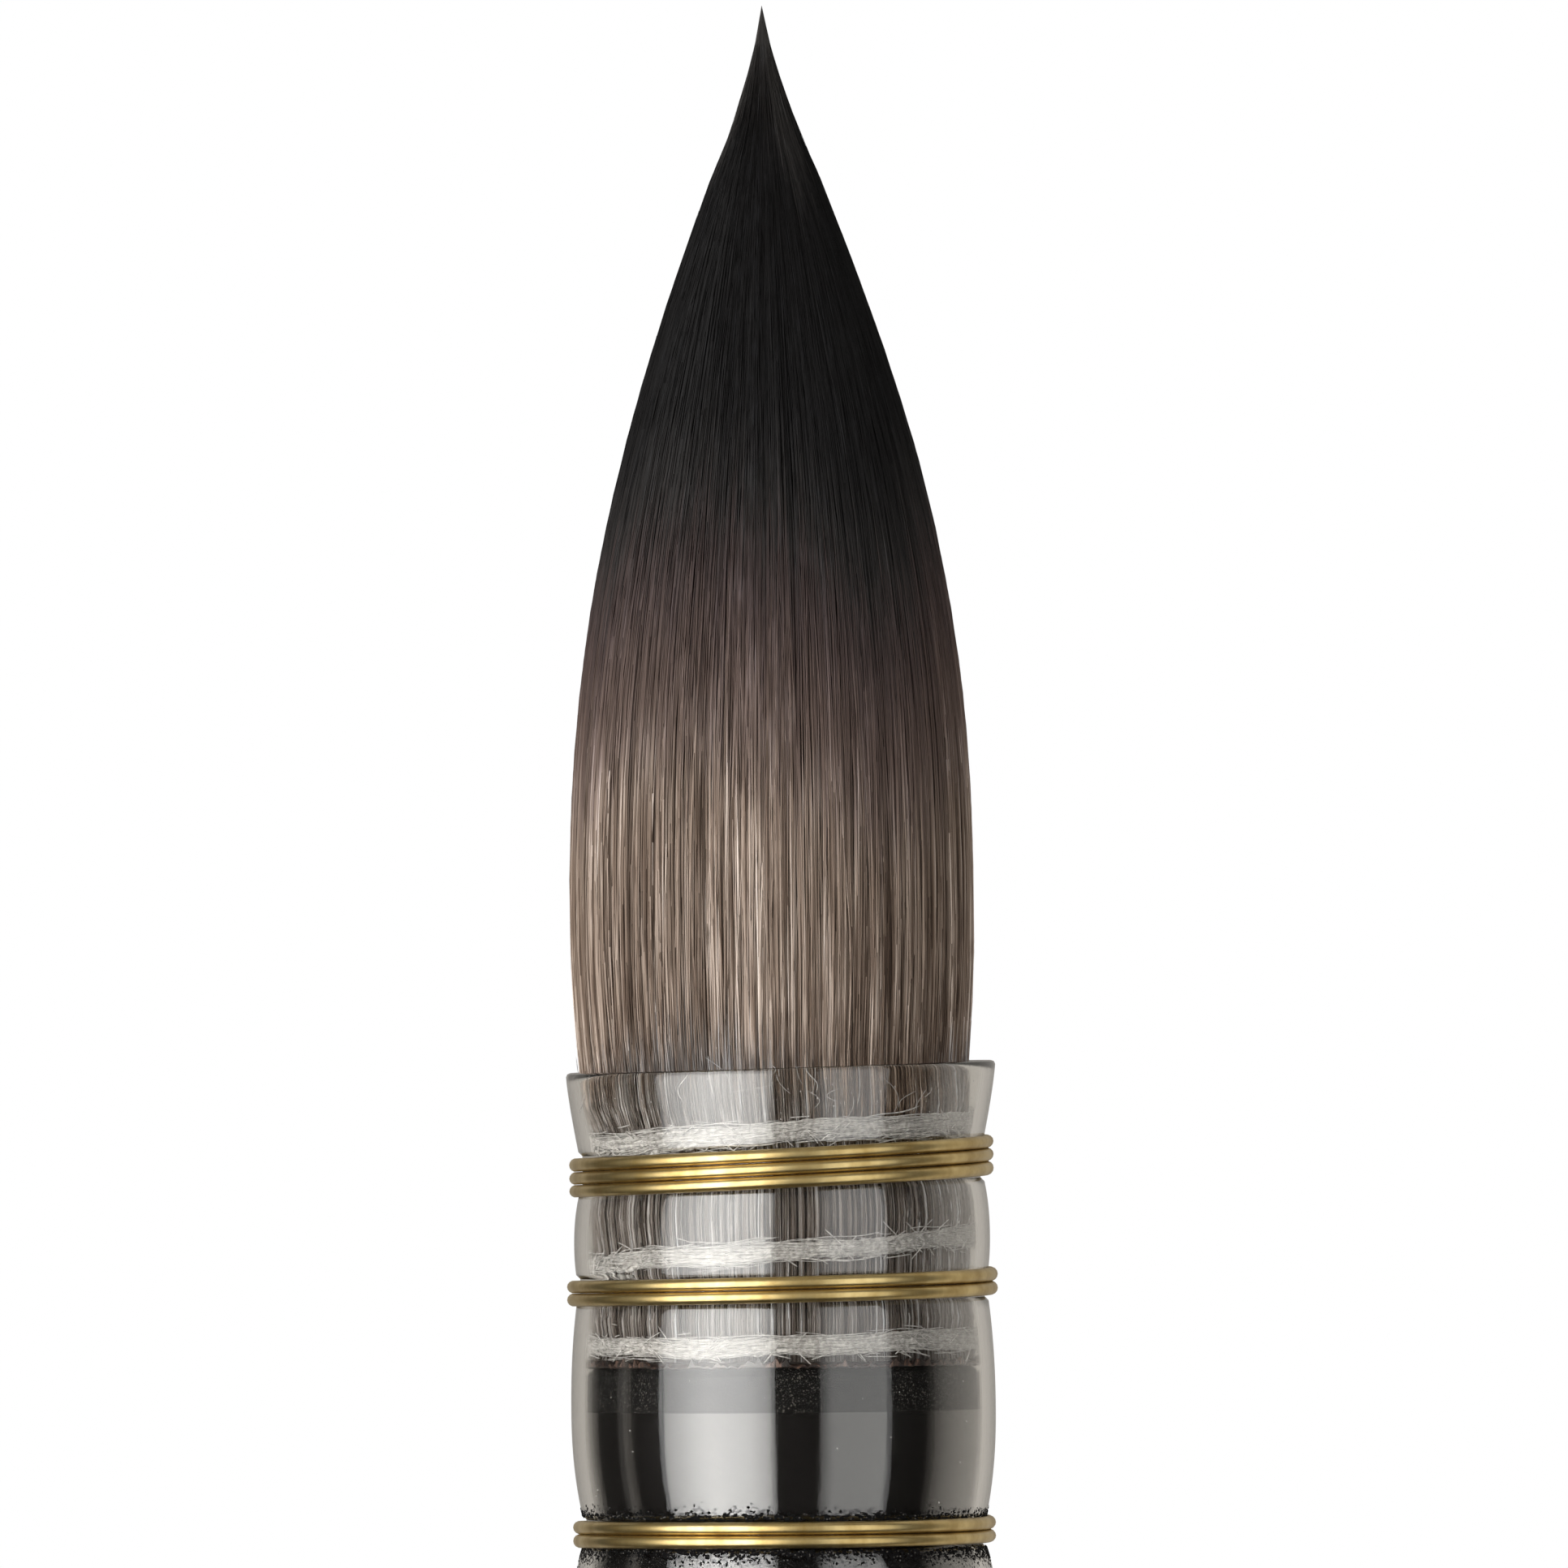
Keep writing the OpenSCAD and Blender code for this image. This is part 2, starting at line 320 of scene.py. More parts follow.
outer = [(r, d) for d, r in PROFILE]
bottom = rounded_rim(QUILL_L, outer[-1][0], 1)
bottom_inner = [(2 * outer[-1][0] - QUILL_WALL - r, d) for r, d in bottom[::-1]]
top = rounded_rim(0, outer[0][0], -1)
top_inner = [(2 * outer[0][0] - QUILL_WALL - r, d) for r, d in top]
inner = [(r - QUILL_WALL, d) for r, d in outer[::-1]]
loop = outer + bottom + bottom_inner + inner + top_inner + top[::-1] + outer[:1]
quill = turn("clear_quill", [(r, MOUTH_Z - d) for r, d in loop], segments=160)
move_points(quill, tilted(coordinates(quill)))
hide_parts("quill")

# %% [markdown]
# ## Brass wire
# A binding is a round wire wound two or three times, each turn pressed against the last. A small
# circle swept by the Screw modifier gives exactly that: one turn of it rises by one wire diameter.
# The cut ends lie at the back, where they are twisted together and pressed flat on the turns.

# %% Wind the bindings
BACK = math.pi / 2
WIRE_SIDES = 14
STEPS_PER_TURN = 112
WIRE_PITCH = 2.01 * WIRE_R


def wound_wire(name, radius, middle_z, turns):
    """A wire wound about +Z, starting and ending at the back, with closed ends."""
    deselect()
    start_z = middle_z - turns * WIRE_PITCH / 2
    bpy.ops.mesh.primitive_circle_add(
        vertices=WIRE_SIDES,
        radius=WIRE_R,
        location=(radius * math.cos(BACK), radius * math.sin(BACK), start_z),
        rotation=(0, math.pi / 2, 0),
    )
    wire = bpy.context.active_object
    wire.name = name
    bpy.ops.object.transform_apply(location=True, rotation=True, scale=True)
    screw = wire.modifiers.new("wind", "SCREW")
    screw.angle = turns * 2 * math.pi
    screw.screw_offset = turns * WIRE_PITCH
    screw.steps = screw.render_steps = round(turns * STEPS_PER_TURN)
    screw.use_merge_vertices = False
    bpy.ops.object.modifier_apply(modifier="wind")
    bpy.ops.object.mode_set(mode="EDIT")
    bpy.ops.mesh.select_mode(type="EDGE")
    bpy.ops.mesh.select_all(action="DESELECT")
    bpy.ops.mesh.select_non_manifold()
    bpy.ops.mesh.edge_face_add()
    bpy.ops.mesh.select_all(action="SELECT")
    bpy.ops.mesh.normals_make_consistent(inside=False)
    bpy.ops.object.mode_set(mode="OBJECT")
    bpy.ops.object.shade_smooth_by_angle(angle=math.radians(50))
    return wire


def join(pieces, name):
    deselect()
    for piece in pieces:
        piece.select_set(True)
    bpy.context.view_layer.objects.active = pieces[0]
    bpy.ops.object.join()
    pieces[0].name = pieces[0].data.name = name
    return pieces[0]


# %% [markdown]
# The twisted ends are two short strands that wind round each other, once every 0.9 mm. They are wound
# about the brush's axis first, as everything else, and then carried out to the back of the binding.

# %% Twist the ends
TWIST_L = 2.2 * MM
TWIST_R = 0.165 * MM
TWIST_TURNS = 2.5


def twisted_ends(name, out_r, middle_z):
    """Two strands wound round each other, standing behind the binding at out_r from the axis."""
    z = np.linspace(-0.5, 0.5, 40) * TWIST_L
    paths, outward = [], []
    for phase in (0, math.pi):
        angle = phase + TWIST_TURNS * 2 * math.pi * (z / TWIST_L)
        squeeze = TWIST_R * (1 - 0.55 * np.abs(2 * z / TWIST_L) ** 6)
        side = np.stack([squeeze * np.cos(angle), squeeze * np.sin(angle), z], axis=-1)
        paths.append(side + np.array([0, out_r, middle_z]))
        outward.append(np.broadcast_to([1.0, 0.3, 0.0], side.shape))
    radii = np.full((2, len(z)), TWIST_R)
    radii[:, 0] = radii[:, -1] = TWIST_R * 0.6
    return sweep(name, np.array(paths), radii, np.array(outward), sides=12)


# %% Bind the quill
wires = []
for i, depth in enumerate(BIND_DEPTHS):
    name = f"brass_wire_{i + 1}"
    coil_r = BIND_NECK_R[i] + WIRE_R
    z = MOUTH_Z - depth
    coil = wound_wire(name, coil_r, z, BIND_TURNS[i])
    ends = twisted_ends(name + "_ends", coil_r + WIRE_R + 1.75 * TWIST_R, z)
    wire = join([coil, ends], name)
    move_points(wire, tilted(coordinates(wire)))
    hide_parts(f"wire_binding_{i + 1}")
    wires.append(wire)
print(len(wires), "bindings wound")

# %% [markdown]
# ## Cotton ties
# The hair is tied three times with soft white cotton before it goes into the quill. The quill has
# pressed each tie flat, so its winds run together into one fluffy band. The plies underneath give the
# band its body. Over a thousand fine fibres laid along them give it its surface, and a few hundred
# short loose ones give it its woolly edge.

# %% Find places on a tie
random = np.random.default_rng(11)
THREAD_WINDS = 2
THREAD_PITCH = 0.24 * MM
PLIES = 3
PLY_R = 0.09 * MM
PLY_TWIST_L = 1.5 * MM
TIE_WANDER = 0.05 * MM
TIE_RIPPLE = 0.03 * MM


def tie_point(i, turns_round, rise, sink):
    """Points on tie i: turns_round from the back, rise above its middle, sink below the quill's bore."""
    angle = BACK + 2 * math.pi * turns_round
    wobble = TIE_WANDER * np.sin(3 * angle + 2 * i) + TIE_RIPPLE * np.sin(8 * angle + i)
    middle = MOUTH_Z - TIE_DEPTHS[i] + wobble
    z = middle + rise + (QUILL_R - QUILL_WALL) * np.cos(angle) * math.tan(TIE_TILTS[i])
    slope = np.tan(np.interp(MOUTH_Z - z, TILT_DEPTHS, TILTS))
    depth = MOUTH_Z - z + QUILL_R * np.cos(angle) * slope
    level = quill_r(depth) - QUILL_WALL - sink
    return np.stack([level * np.cos(angle), level * np.sin(angle), z], axis=-1)


for i in range(len(TIE_DEPTHS)):
    print("tie", i + 1, "starts at", (tie_point(i, 0.0, 0.0, PLY_R) / MM).round(2), "mm")

# %% Twist the plies
PLY_STEPS = 700
PLY_SINK = 0.2 * MM
PLY_SWING = 0.08 * MM
PLY_WANDER = 0.03 * MM


def plies(i):
    """The three plies of tie i, twisted round each other and pressed flat."""
    t = np.linspace(0, THREAD_WINDS, PLY_STEPS)
    length = t * 2 * math.pi * QUILL_R
    paths = []
    for ply in range(PLIES):
        angle = 2 * math.pi * (length / PLY_TWIST_L + ply / PLIES)
        wander = PLY_WANDER * np.sin(9 * t + i * 2 + ply)
        rise = (t - THREAD_WINDS / 2) * THREAD_PITCH + PLY_SWING * np.cos(angle) + wander
        paths.append(tie_point(i, t, rise, PLY_SINK + PLY_SWING / 2 * np.sin(angle)))
    paths = np.array(paths)
    radii = np.full(paths.shape[:2], PLY_R)
    return sweep(f"cotton_plies_{i + 1}", paths, radii, paths * np.array([1, 1, 0]), sides=6)


# %% Lay the fibres
FIBRE_POINTS = 15
FIBRE_R_MM = (0.01, 0.024)
CURL_L = 0.35 * MM
FIBRE_WAVE = 0.012 * MM
FIBRE_WAVE_L = 0.5 * MM
LAID = {
    "count": 1200,
    "length_mm": (1, 3.5),
    "spread": 0.25 * MM,
    "swing": 0.05,
    "curl_mm": 0.026,
    "sink_mm": (0.035, 0.13),
}
LOOSE = {
    "count": 420,
    "length_mm": (0.25, 0.8),
    "spread": 0.36 * MM,
    "swing": 0.5,
    "curl_mm": 0.05,
    "sink_mm": (0.03, 0.06),
}


def fibres(name, i, count, length_mm, spread, swing, curl_mm, sink_mm):
    """Fine fibres along tie i, spread over its width, with lengths and depths between two limits."""
    s = np.linspace(0, 1, FIBRE_POINTS)
    start = random.uniform(0, 1, (count, 1))
    length = random.uniform(*length_mm, (count, 1)) * MM
    thick = 1 + 0.18 * np.sin(start * 75 + i) + 0.16 * np.sin(start * 163 + 2 * i)
    rise = np.clip(random.normal(0, 0.55, (count, 1)), -1.3, 1.3) * spread * thick
    slant = random.normal(0, swing, (count, 1)) * length * (s - 0.5)
    curl = random.normal(0, curl_mm, (count, 1)) * MM
    curl = curl * np.sin(length * s / CURL_L + random.uniform(0, 6, (count, 1)))
    sink = random.uniform(*sink_mm, (count, 1)) * MM
    sink = sink + FIBRE_WAVE * np.sin(length * s / FIBRE_WAVE_L + start * 90)
    along = start + length * s / (2 * math.pi * QUILL_R)
    paths = tie_point(i, along, rise + slant + curl, sink)
    radii = random.uniform(*FIBRE_R_MM, (count, 1)) * MM * np.clip(8 * s * (1 - s) + 0.2, 0, 1)
    return sweep(name, paths, radii, paths * np.array([1, 1, 0]), sides=3)


# %% Tie the hair
ties = []
for i, node_name in enumerate(["thread_tie_upper", "thread_tie_middle", "thread_tie_lower"]):
    laid = fibres(f"laid_fibres_{i + 1}", i, **LAID)
    loose = fibres(f"loose_fibres_{i + 1}", i, **LOOSE)
    tie = join([plies(i), laid, loose], f"cotton_tie_{i + 1}")
    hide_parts(node_name)
    ties.append(tie)
print(len(ties), "ties laid")

# %% [markdown]
# ## Shape of the head
# Soft hair of one length, tied at the root, swells to a belly and closes to a point by itself. Two
# powers describe the outline: one keeps the belly full and the other draws out the point. Just below
# the tip the hairs cling together, so the outline is pinched there.

# %% Outline of the hair
BELLY_R = 6.08 * MM
BELLY_H = 4.7 * MM
BELLY_SWELL = 0.25 * MM
BELLY_FULLNESS = 2.3
POINT_FINENESS = 1.36
PINCH = 0.27
PINCH_AT = 0.9
PINCH_W = 0.045
ROOT_DEPTH = 8.74 * MM
ROOT_R = 5.85 * MM
TIE_PINCH = 0.16 * MM
TIE_REACH = 0.7 * MM
EASE_L = 0.9 * MM


def head_r(height):
    """Radius of the hair at a height above the mouth."""
    share = np.clip((height - BELLY_H) / (HAIR_OUT_L - BELLY_H), 0, 1)
    above = BELLY_R * (1 - share**BELLY_FULLNESS) ** POINT_FINENESS
    above = above * (1 - PINCH * np.exp(-(((share - PINCH_AT) / PINCH_W) ** 2)))
    below = BELLY_R - BELLY_SWELL * (np.clip(BELLY_H - height, 0, None) / BELLY_H) ** 2
    return np.where(height > BELLY_H, above, below)


def root_r(depth):
    """Radius of the hair inside the quill, pinched where it is tied."""
    free = np.minimum(quill_r(depth) - QUILL_WALL - 0.04 * MM, ROOT_R)
    for tie_depth in TIE_DEPTHS:
        free = free - TIE_PINCH * np.exp(-(((depth - tie_depth) / TIE_REACH) ** 2))
    return free


def hair_r(height):
    """Radius of the hair at any height, eased from the tied roots to the head just inside the mouth."""
    inside = root_r(-height)
    share = np.clip((height + EASE_L) / EASE_L, 0, 1)
    eased = inside * (1 - share) + np.minimum(inside, head_r(0.0)) * share
    return np.where(height < 0, eased, head_r(height))


LEAN_AT = np.array([-3, 0, 6, 12, 18, 24, 28, 32]) * MM
LEAN_X = np.array([0, -0.21, -0.22, -0.18, -0.155, -0.2, -0.23, -0.29]) * MM


def hair_axis_x(height):
    """The head leans a little towards -X, more so at the point."""
    return np.interp(height, LEAN_AT, LEAN_X)


print("hair is", round(float(hair_r(BELLY_H)) * 2 / MM, 2), "mm across its belly")

# %% [markdown]
# Under the loose hairs lies a solid body of the same outline, a little thinner, so that no light
# shines through the head. It is turned like the quill, and carries the same map as the hairs. Its dark
# tone is painted shade, the shade deep among the hairs.

# %% Turn the body under the hairs
HAIR_BOTTOM_Z = MOUTH_Z - ROOT_DEPTH
HAIR_SPAN = ROOT_DEPTH + HAIR_OUT_L
BODY_SHARE = 0.965
# The body's dark tone is painted shade, the shade deep among the hairs.
BODY_SHADE_TONE = 0.16
BODY_SHIFT = 0.5
BODY_SIDE_GAP = 2.6 * MM
BODY_TIP_GAP = 2.3 * MM
TONES = 16
COLUMN_W = 1 / (TONES * TONES)


def column_u(tone, shift):
    """Centre of the map column for a tone and a shift, both 0 to 1, each rounded to one of 16."""
    tone_step = np.clip(np.floor(np.asarray(tone) * TONES), 0, TONES - 1)
    shift_step = np.clip(np.floor(np.asarray(shift) * TONES), 0, TONES - 1)
    return (tone_step * TONES + shift_step + 0.5) * COLUMN_W


body_heights = np.concatenate(
    [np.linspace(-ROOT_DEPTH, 0, 64), np.linspace(0.3 * MM, HAIR_OUT_L - BODY_SIDE_GAP, 60)]
)
body_outline = [(float(hair_r(h) * BODY_SHARE), MOUTH_Z + float(h)) for h in body_heights]
body_outline = [(0, HAIR_BOTTOM_Z)] + body_outline + [(0, MOUTH_Z + HAIR_OUT_L - BODY_TIP_GAP)]
body = turn("hair_body", body_outline, segments=96)
points = coordinates(body)
points[:, 0] += hair_axis_x(points[:, 2] - MOUTH_Z)
move_points(body, points)
layer = body.data.uv_layers.new(name="OFBake")
loop_points = np.empty(len(body.data.loops), dtype=int)
body.data.loops.foreach_get("vertex_index", loop_points)
corner = coordinates(body)[loop_points]
around = np.arctan2(corner[:, 1], corner[:, 0]) / math.pi
u = float(column_u(BODY_SHADE_TONE, BODY_SHIFT)) + 0.3 * COLUMN_W * around
v = (corner[:, 2] - HAIR_BOTTOM_Z) / HAIR_SPAN
layer.uv.foreach_set("vector", np.stack([u, v], axis=1).ravel())

# %% [markdown]
# ## Tones round the head
# Hairs gather in tufts that share a tone, as they do on a real head, so the tone changes in broad
# steps and in fine ones round the brush. The height at which grey-brown turns to black also shifts
# from side to side. Both are lists of values at angles counted from the front. The broad tones are
# partly painted light: they darken or lighten each side as the lamps light it.

# %% Tones round the head
BROAD_TONE_AT = np.radians([-180, -140, -105, -71, -48, -29, -10, 13, 32, 50, 63, 100, 150, 180])
# The broad tones are partly painted light: they darken or lighten each side as the lamps light it.
BROAD_TONE_AND_PAINTED_LIGHT = [0.42, 0.55, 0.44, 0.41, 0.37, 0.42, 0.62, 0.4, 0.31, 0.23, 0.2, 0.7, 0.36, 0.42]
BROAD_SHIFT = [0.5, 0.42, 0.66, 0.66, 0.46, 0.42, 0.46, 0.58, 0.78, 0.74, 0.54, 0.4, 0.56, 0.5]
FINE_TUFTS = ((31, 0.05), (67, 0.08), (119, 0.1))


def from_front(angle):
    """Angle round the head, measured from its -Y side."""
    return np.mod(angle + 1.5 * math.pi, 2 * math.pi) - math.pi


def tuft_tone_and_painted_light(angle):
    """A tone from 0 to 1 that changes round the head, in broad tufts and fine ones, partly painted light.
    """
    tone = np.interp(from_front(angle), BROAD_TONE_AT, BROAD_TONE_AND_PAINTED_LIGHT)
    for waves, share in FINE_TUFTS:
        tone = tone + share * np.sin(waves * angle + waves * 1.7 + 1.3 * np.sin((waves // 3) * angle))
    return tone


def tied_tone(angle):
    """The tied roots have the tones of the hair above them, and are paler on the right."""
    return tuft_tone_and_painted_light(angle) + 0.3 * np.exp(-(((from_front(angle) - 1.0) / 0.55) ** 2))


def hair_columns(angle, depth_share, tone_at, tone_spread):
    """The map column of each hair. Hairs that lie deeper are darker, a painted shade between the hairs.
    """
    tone = np.clip(tone_at(angle) + random.normal(0, tone_spread, len(angle)), 0.02, 0.98)
    # Deeper hairs are darkened: painted shade between the hairs.
    tone = tone * np.clip(depth_share * 6 - 5, 0.35, 1)
    shift = np.interp(from_front(angle), BROAD_TONE_AT, BROAD_SHIFT)
    shift = shift + random.normal(0, 0.08, len(angle))
    return column_u(tone, np.clip(shift, 0, 0.999))


print("tone at the front:", round(float(tuft_tone_and_painted_light(-math.pi / 2)), 2))

# %% [markdown]
# ## The hairs
# Each hair follows the outline, weaves a little to the side and in and out of its neighbours, and
# thins towards its end. It is drawn towards the middle of its tuft, and it may stop early, so that the
# point isn't crowded. A real hair is about 0.04 mm thick.

# %% Weave and thickness of the hairs
HAIR_SIDES = 3
TUFT_W = 2 * math.pi / 150
TUFT_PULL = 0.45
WEAVE_MM = (2.1, 4.3, 8.0)
WAVE_DEPTH = 0.008 * MM
WAVE_L = 2.6 * MM
STRAIGHT_R = 0.5 * MM
CROWDED_R = 1.5 * MM
LOWEST_END = 6 * MM


def sway(length, weave):
    """How far each hair wanders to the side along its length, and the phases of its waves."""
    count = len(length)
    wander = random.normal(0, weave, (count, 3))
    phase = random.uniform(0, 2 * math.pi, (count, 3))
    sideways = sum(
        wander[:, [k]] * np.sin(length / (reach_mm * MM) + phase[:, [k]])
        for k, reach_mm in enumerate(WEAVE_MM)
    )
    return sideways, phase


def hair_radii(count, s, thickness):
    """Radii along each hair: thin at the root, full in the middle and drawn out at the end."""
    slim = thickness * random.uniform(0.6, 1.35, count)[:, None]
    return slim * np.clip((1 - s) / 0.35, 0.12, 1) ** 0.8 * np.clip(0.35 + s * 6, 0, 1)


def ends_along_the_head(count):
    """Heights of the hair ends, spread so that the hairs are equally close all the way up."""
    grid = np.linspace(LOWEST_END, HAIR_OUT_L, 400)
    still_there = head_r(grid) / BELLY_R * 0.93 + 0.07 * (grid < HAIR_OUT_L - 0.2 * MM)
    ends = np.interp(random.uniform(0, 1, count), 1 - still_there, grid)
    return np.minimum(ends + 1.5 * MM, HAIR_OUT_L * (1 - 0.012 * random.uniform(0, 1, count) ** 2))


def ends_in_the_mouth(count):
    """Heights of the ends of the tied hairs, just above the mouth of the quill."""
    return random.uniform(0.05, 1.6, count) * MM


# %% Comb the hairs
HEAD_HAIRS = {
    "count": 2300,
    "low": -1.6 * MM,
    "ends_at": ends_along_the_head,
    "segments": 13,
    "reach": 0.05,
    "thickness": 0.022 * MM,
    "weave": 0.045 * MM,
    "tone_at": tuft_tone_and_painted_light,
    "tone_spread": 0.2,
}
TIED_HAIRS = {
    "count": 2000,
    "low": 0.05 * MM - ROOT_DEPTH,
    "ends_at": ends_in_the_mouth,
    "segments": 16,
    "reach": 0.03,
    "thickness": 0.025 * MM,
    "weave": 0.02 * MM,
    "tone_at": tied_tone,
    "tone_spread": 0.22,
}


def comb(name, count, low, ends_at, segments, reach, thickness, weave, tone_at, tone_spread):
    """Hairs from height low up to their own ends, lying up to a share reach under the surface."""
    angle = np.sort(random.uniform(0, 2 * math.pi, count))
    top = ends_at(count)
    s = np.linspace(0, 1, segments + 1)
    height = low + (top[:, None] - low) * s
    depth_share = 1 - reach * random.uniform(0, 1, count) ** 1.3
    length = height - low
    sideways, phase = sway(length, weave)
    off_tuft = np.round(angle / TUFT_W) * TUFT_W - angle
    pull = off_tuft[:, None] * TUFT_PULL * np.sin(math.pi * s) ** 2
    radius = hair_r(height)
    radii = hair_radii(count, s, thickness)
    wave = WAVE_DEPTH * np.sin(length / WAVE_L + phase[:, [0]] * 3) * (radius > STRAIGHT_R)
    lie = np.maximum(radius * depth_share[:, None] - radii + wave, 0.0)
    turned = angle[:, None] + pull + sideways / np.maximum(radius, CROWDED_R)
    outward = np.stack([np.cos(turned), np.sin(turned), 0 * turned], axis=-1)
    paths = outward * lie[:, :, None]
    paths[:, :, 0] += hair_axis_x(height)
    paths[:, :, 2] = MOUTH_Z + height
    piece = sweep(name, paths, radii, outward, HAIR_SIDES)
    columns = hair_columns(angle, depth_share, tone_at, tone_spread)
    heights = np.clip((height + ROOT_DEPTH) / HAIR_SPAN, 0.001, 0.999)
    lay_out_hairs(piece, columns, heights, HAIR_SIDES, COLUMN_W * 0.5)
    return piece


hairs = [comb(f"hairs_{part + 1}", **HEAD_HAIRS) for part in range(4)]
hairs += [comb(f"tied_hairs_{part + 1}", **TIED_HAIRS) for part in range(2)]
for piece in [body] + hairs:
    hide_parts("hair_bundle")

# %% [markdown]
# A few fibres of lint and broken hair always cling in the mouth of the quill. Most lie flat against the
# hair, and one or two stick out over the rim.

# %% Scatter lint in the mouth
LINT = 34
LINT_AT_FRONT = 14
LINT_POINTS = 18
LINT_LOW_MM = (-1.5, -0.1)
LINT_LENGTH_MM = (0.4, 1.5)
LINT_R_MM = (0.006, 0.013)
LINT_GAP = 0.02 * MM
LINT_LIFT = 0.06 * MM
FRONT = BACK + math.pi

s = np.linspace(0, 1, LINT_POINTS)
angle = random.uniform(0, 2 * math.pi, (LINT, 1))
angle[:LINT_AT_FRONT] = FRONT + random.uniform(-0.35, 0.95, (LINT_AT_FRONT, 1))
low = random.uniform(*LINT_LOW_MM, (LINT, 1)) * MM
length = random.uniform(*LINT_LENGTH_MM, (LINT, 1)) * MM
lean = random.normal(0, 0.7, (LINT, 1))
bend = random.normal(0, 0.22, (LINT, 1)) * MM
height = low + length * s * np.cos(lean)
across = length * s * np.sin(lean) + bend * np.sin(math.pi * s)
gap_r = np.maximum(hair_r(height), root_r(np.clip(-height, 0, None)))
lint_r = np.where(height < 0, gap_r + LINT_GAP, hair_r(height) + LINT_LIFT)
turned = angle + across / lint_r
lint_paths = np.stack([lint_r * np.cos(turned), lint_r * np.sin(turned), MOUTH_Z + height], axis=-1)
lint_paths[:, :, 0] += hair_axis_x(height)
lint_radii = random.uniform(*LINT_R_MM, (LINT, 1)) * MM * np.clip(6 * s * (1 - s) + 0.3, 0, 1)
lint = sweep("mouth_lint", lint_paths, lint_radii, lint_paths * np.array([1, 1, 0]), sides=4)

# %% [markdown]
# ## Resin at the roots
# A thin layer of red-brown resin seals the roots where they meet the tenon. It creeps up between the
# hairs and runs down over the tenon's edge, so its border is ragged.

# %% Pour the resin
RESIN_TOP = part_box("root_glue")[1][2]
RESIN_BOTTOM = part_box("root_glue")[0][2]
RESIN_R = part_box("root_glue")[1][0] + 0.02 * MM
RESIN_OUTLINE = [
    (0, RESIN_TOP),
    (RESIN_R - 0.25 * MM, RESIN_TOP),
    (RESIN_R - 0.04 * MM, RESIN_TOP - 0.01 * MM),
    (RESIN_R, RESIN_TOP - 0.04 * MM),
    (RESIN_R, RESIN_BOTTOM + 0.02 * MM),
    (RESIN_R - 0.02 * MM, RESIN_BOTTOM),
    (0, RESIN_BOTTOM),
]
CREEP_UP = 0.3 * MM
CREEP_DOWN = 0.07 * MM
CREEP_WAVES = ((7, 0.25), (17, 0.2), (41, 0.25), (89, 0.25), (143, 0.25))

resin = turn("root_resin", RESIN_OUTLINE, segments=360)
points = coordinates(resin)
angle = np.arctan2(points[:, 1], points[:, 0])
creep = np.zeros(len(points))
for waves, share in CREEP_WAVES:
    creep += share * np.sin(waves * angle + waves)
edge = np.hypot(points[:, 0], points[:, 1]) > RESIN_R - 0.1 * MM
upper = points[:, 2] > RESIN_TOP - 0.05 * MM
points[:, 2] += edge * upper * np.clip(creep, -0.2, 1) * CREEP_UP
points[:, 2] -= edge * ~upper * np.clip(-creep, -0.1, 1) * CREEP_DOWN
move_points(resin, points)
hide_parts("root_glue")

# %% [markdown]
# ## The handle
# The handle is turned from one rod: a round butt, a slim tail, a long body that swells to the grip, a
# neck that eases to the quill's own radius, and a tenon inside the quill. It is dipped in black
# lacquer as far as 10.2 mm below the mouth, where the film ends in a crisp edge. Above it the wood is
# only stained black.

# %% Turn the handle
HANDLE_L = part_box("quill")[0][2]
TENON_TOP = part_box("handle")[1][2]
LACQUER_END = MOUTH_Z - 10.2 * MM
LACQUER_T = 0.03 * MM
GRIP_R = QUILL_R + 0.62 * MM
GRIP_L = 14 * MM
NECK_L = 9 * MM
TAIL_R = 3.2 * MM
TAIL_L = 12 * MM
BUTT_L = 3 * MM
BUTT_FLAT_R = 1 * MM
TENON_GAP = 0.045 * MM
TENON_CHAMFER = 0.25 * MM
SHOULDER_GAP = 0.02 * MM
SHOULDER_ROUND = 0.1 * MM


def tenon_r(z):
    return quill_r(MOUTH_Z - z) - QUILL_WALL - TENON_GAP


def handle_outline():
    """(radius, z) points from the middle of the butt up to the middle of the tenon's end."""
    tail_z, neck_z = BUTT_L + TAIL_L, HANDLE_L - NECK_L
    grip_z = neck_z - GRIP_L
    points = [(0, 0)]
    for a in np.radians(np.arange(0, 91, 7.5)):
        points.append((BUTT_FLAT_R + (TAIL_R - BUTT_FLAT_R) * math.sin(a), BUTT_L * (1 - math.cos(a))))
    for t in np.linspace(0, 1, 60):
        swell = t * t * (3 - 2 * t)
        points.append((TAIL_R + (GRIP_R - TAIL_R) * swell, tail_z + (grip_z - tail_z) * t))
    shoulder_z = HANDLE_L - SHOULDER_GAP
    shoulder_rise = shoulder_z - SHOULDER_ROUND - neck_z
    for t in np.linspace(0, 1, 24):
        ease = (1 - math.cos(math.pi * t)) / 2
        points.append((GRIP_R + (RIM_R - GRIP_R) * ease, neck_z + shoulder_rise * t))
    points.append((RIM_R - SHOULDER_ROUND, shoulder_z))
    for z in np.linspace(shoulder_z, LACQUER_END, 70):
        points.append((tenon_r(z), z))
    for z in np.linspace(LACQUER_END + 0.03 * MM, TENON_TOP - TENON_CHAMFER, 8):
        points.append((tenon_r(z) - LACQUER_T, z))
    top_r = tenon_r(TENON_TOP - TENON_CHAMFER) - LACQUER_T
    return points + [(top_r - TENON_CHAMFER, TENON_TOP), (0, TENON_TOP)]


handle = turn("turned_handle", handle_outline(), segments=144)
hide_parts("handle")

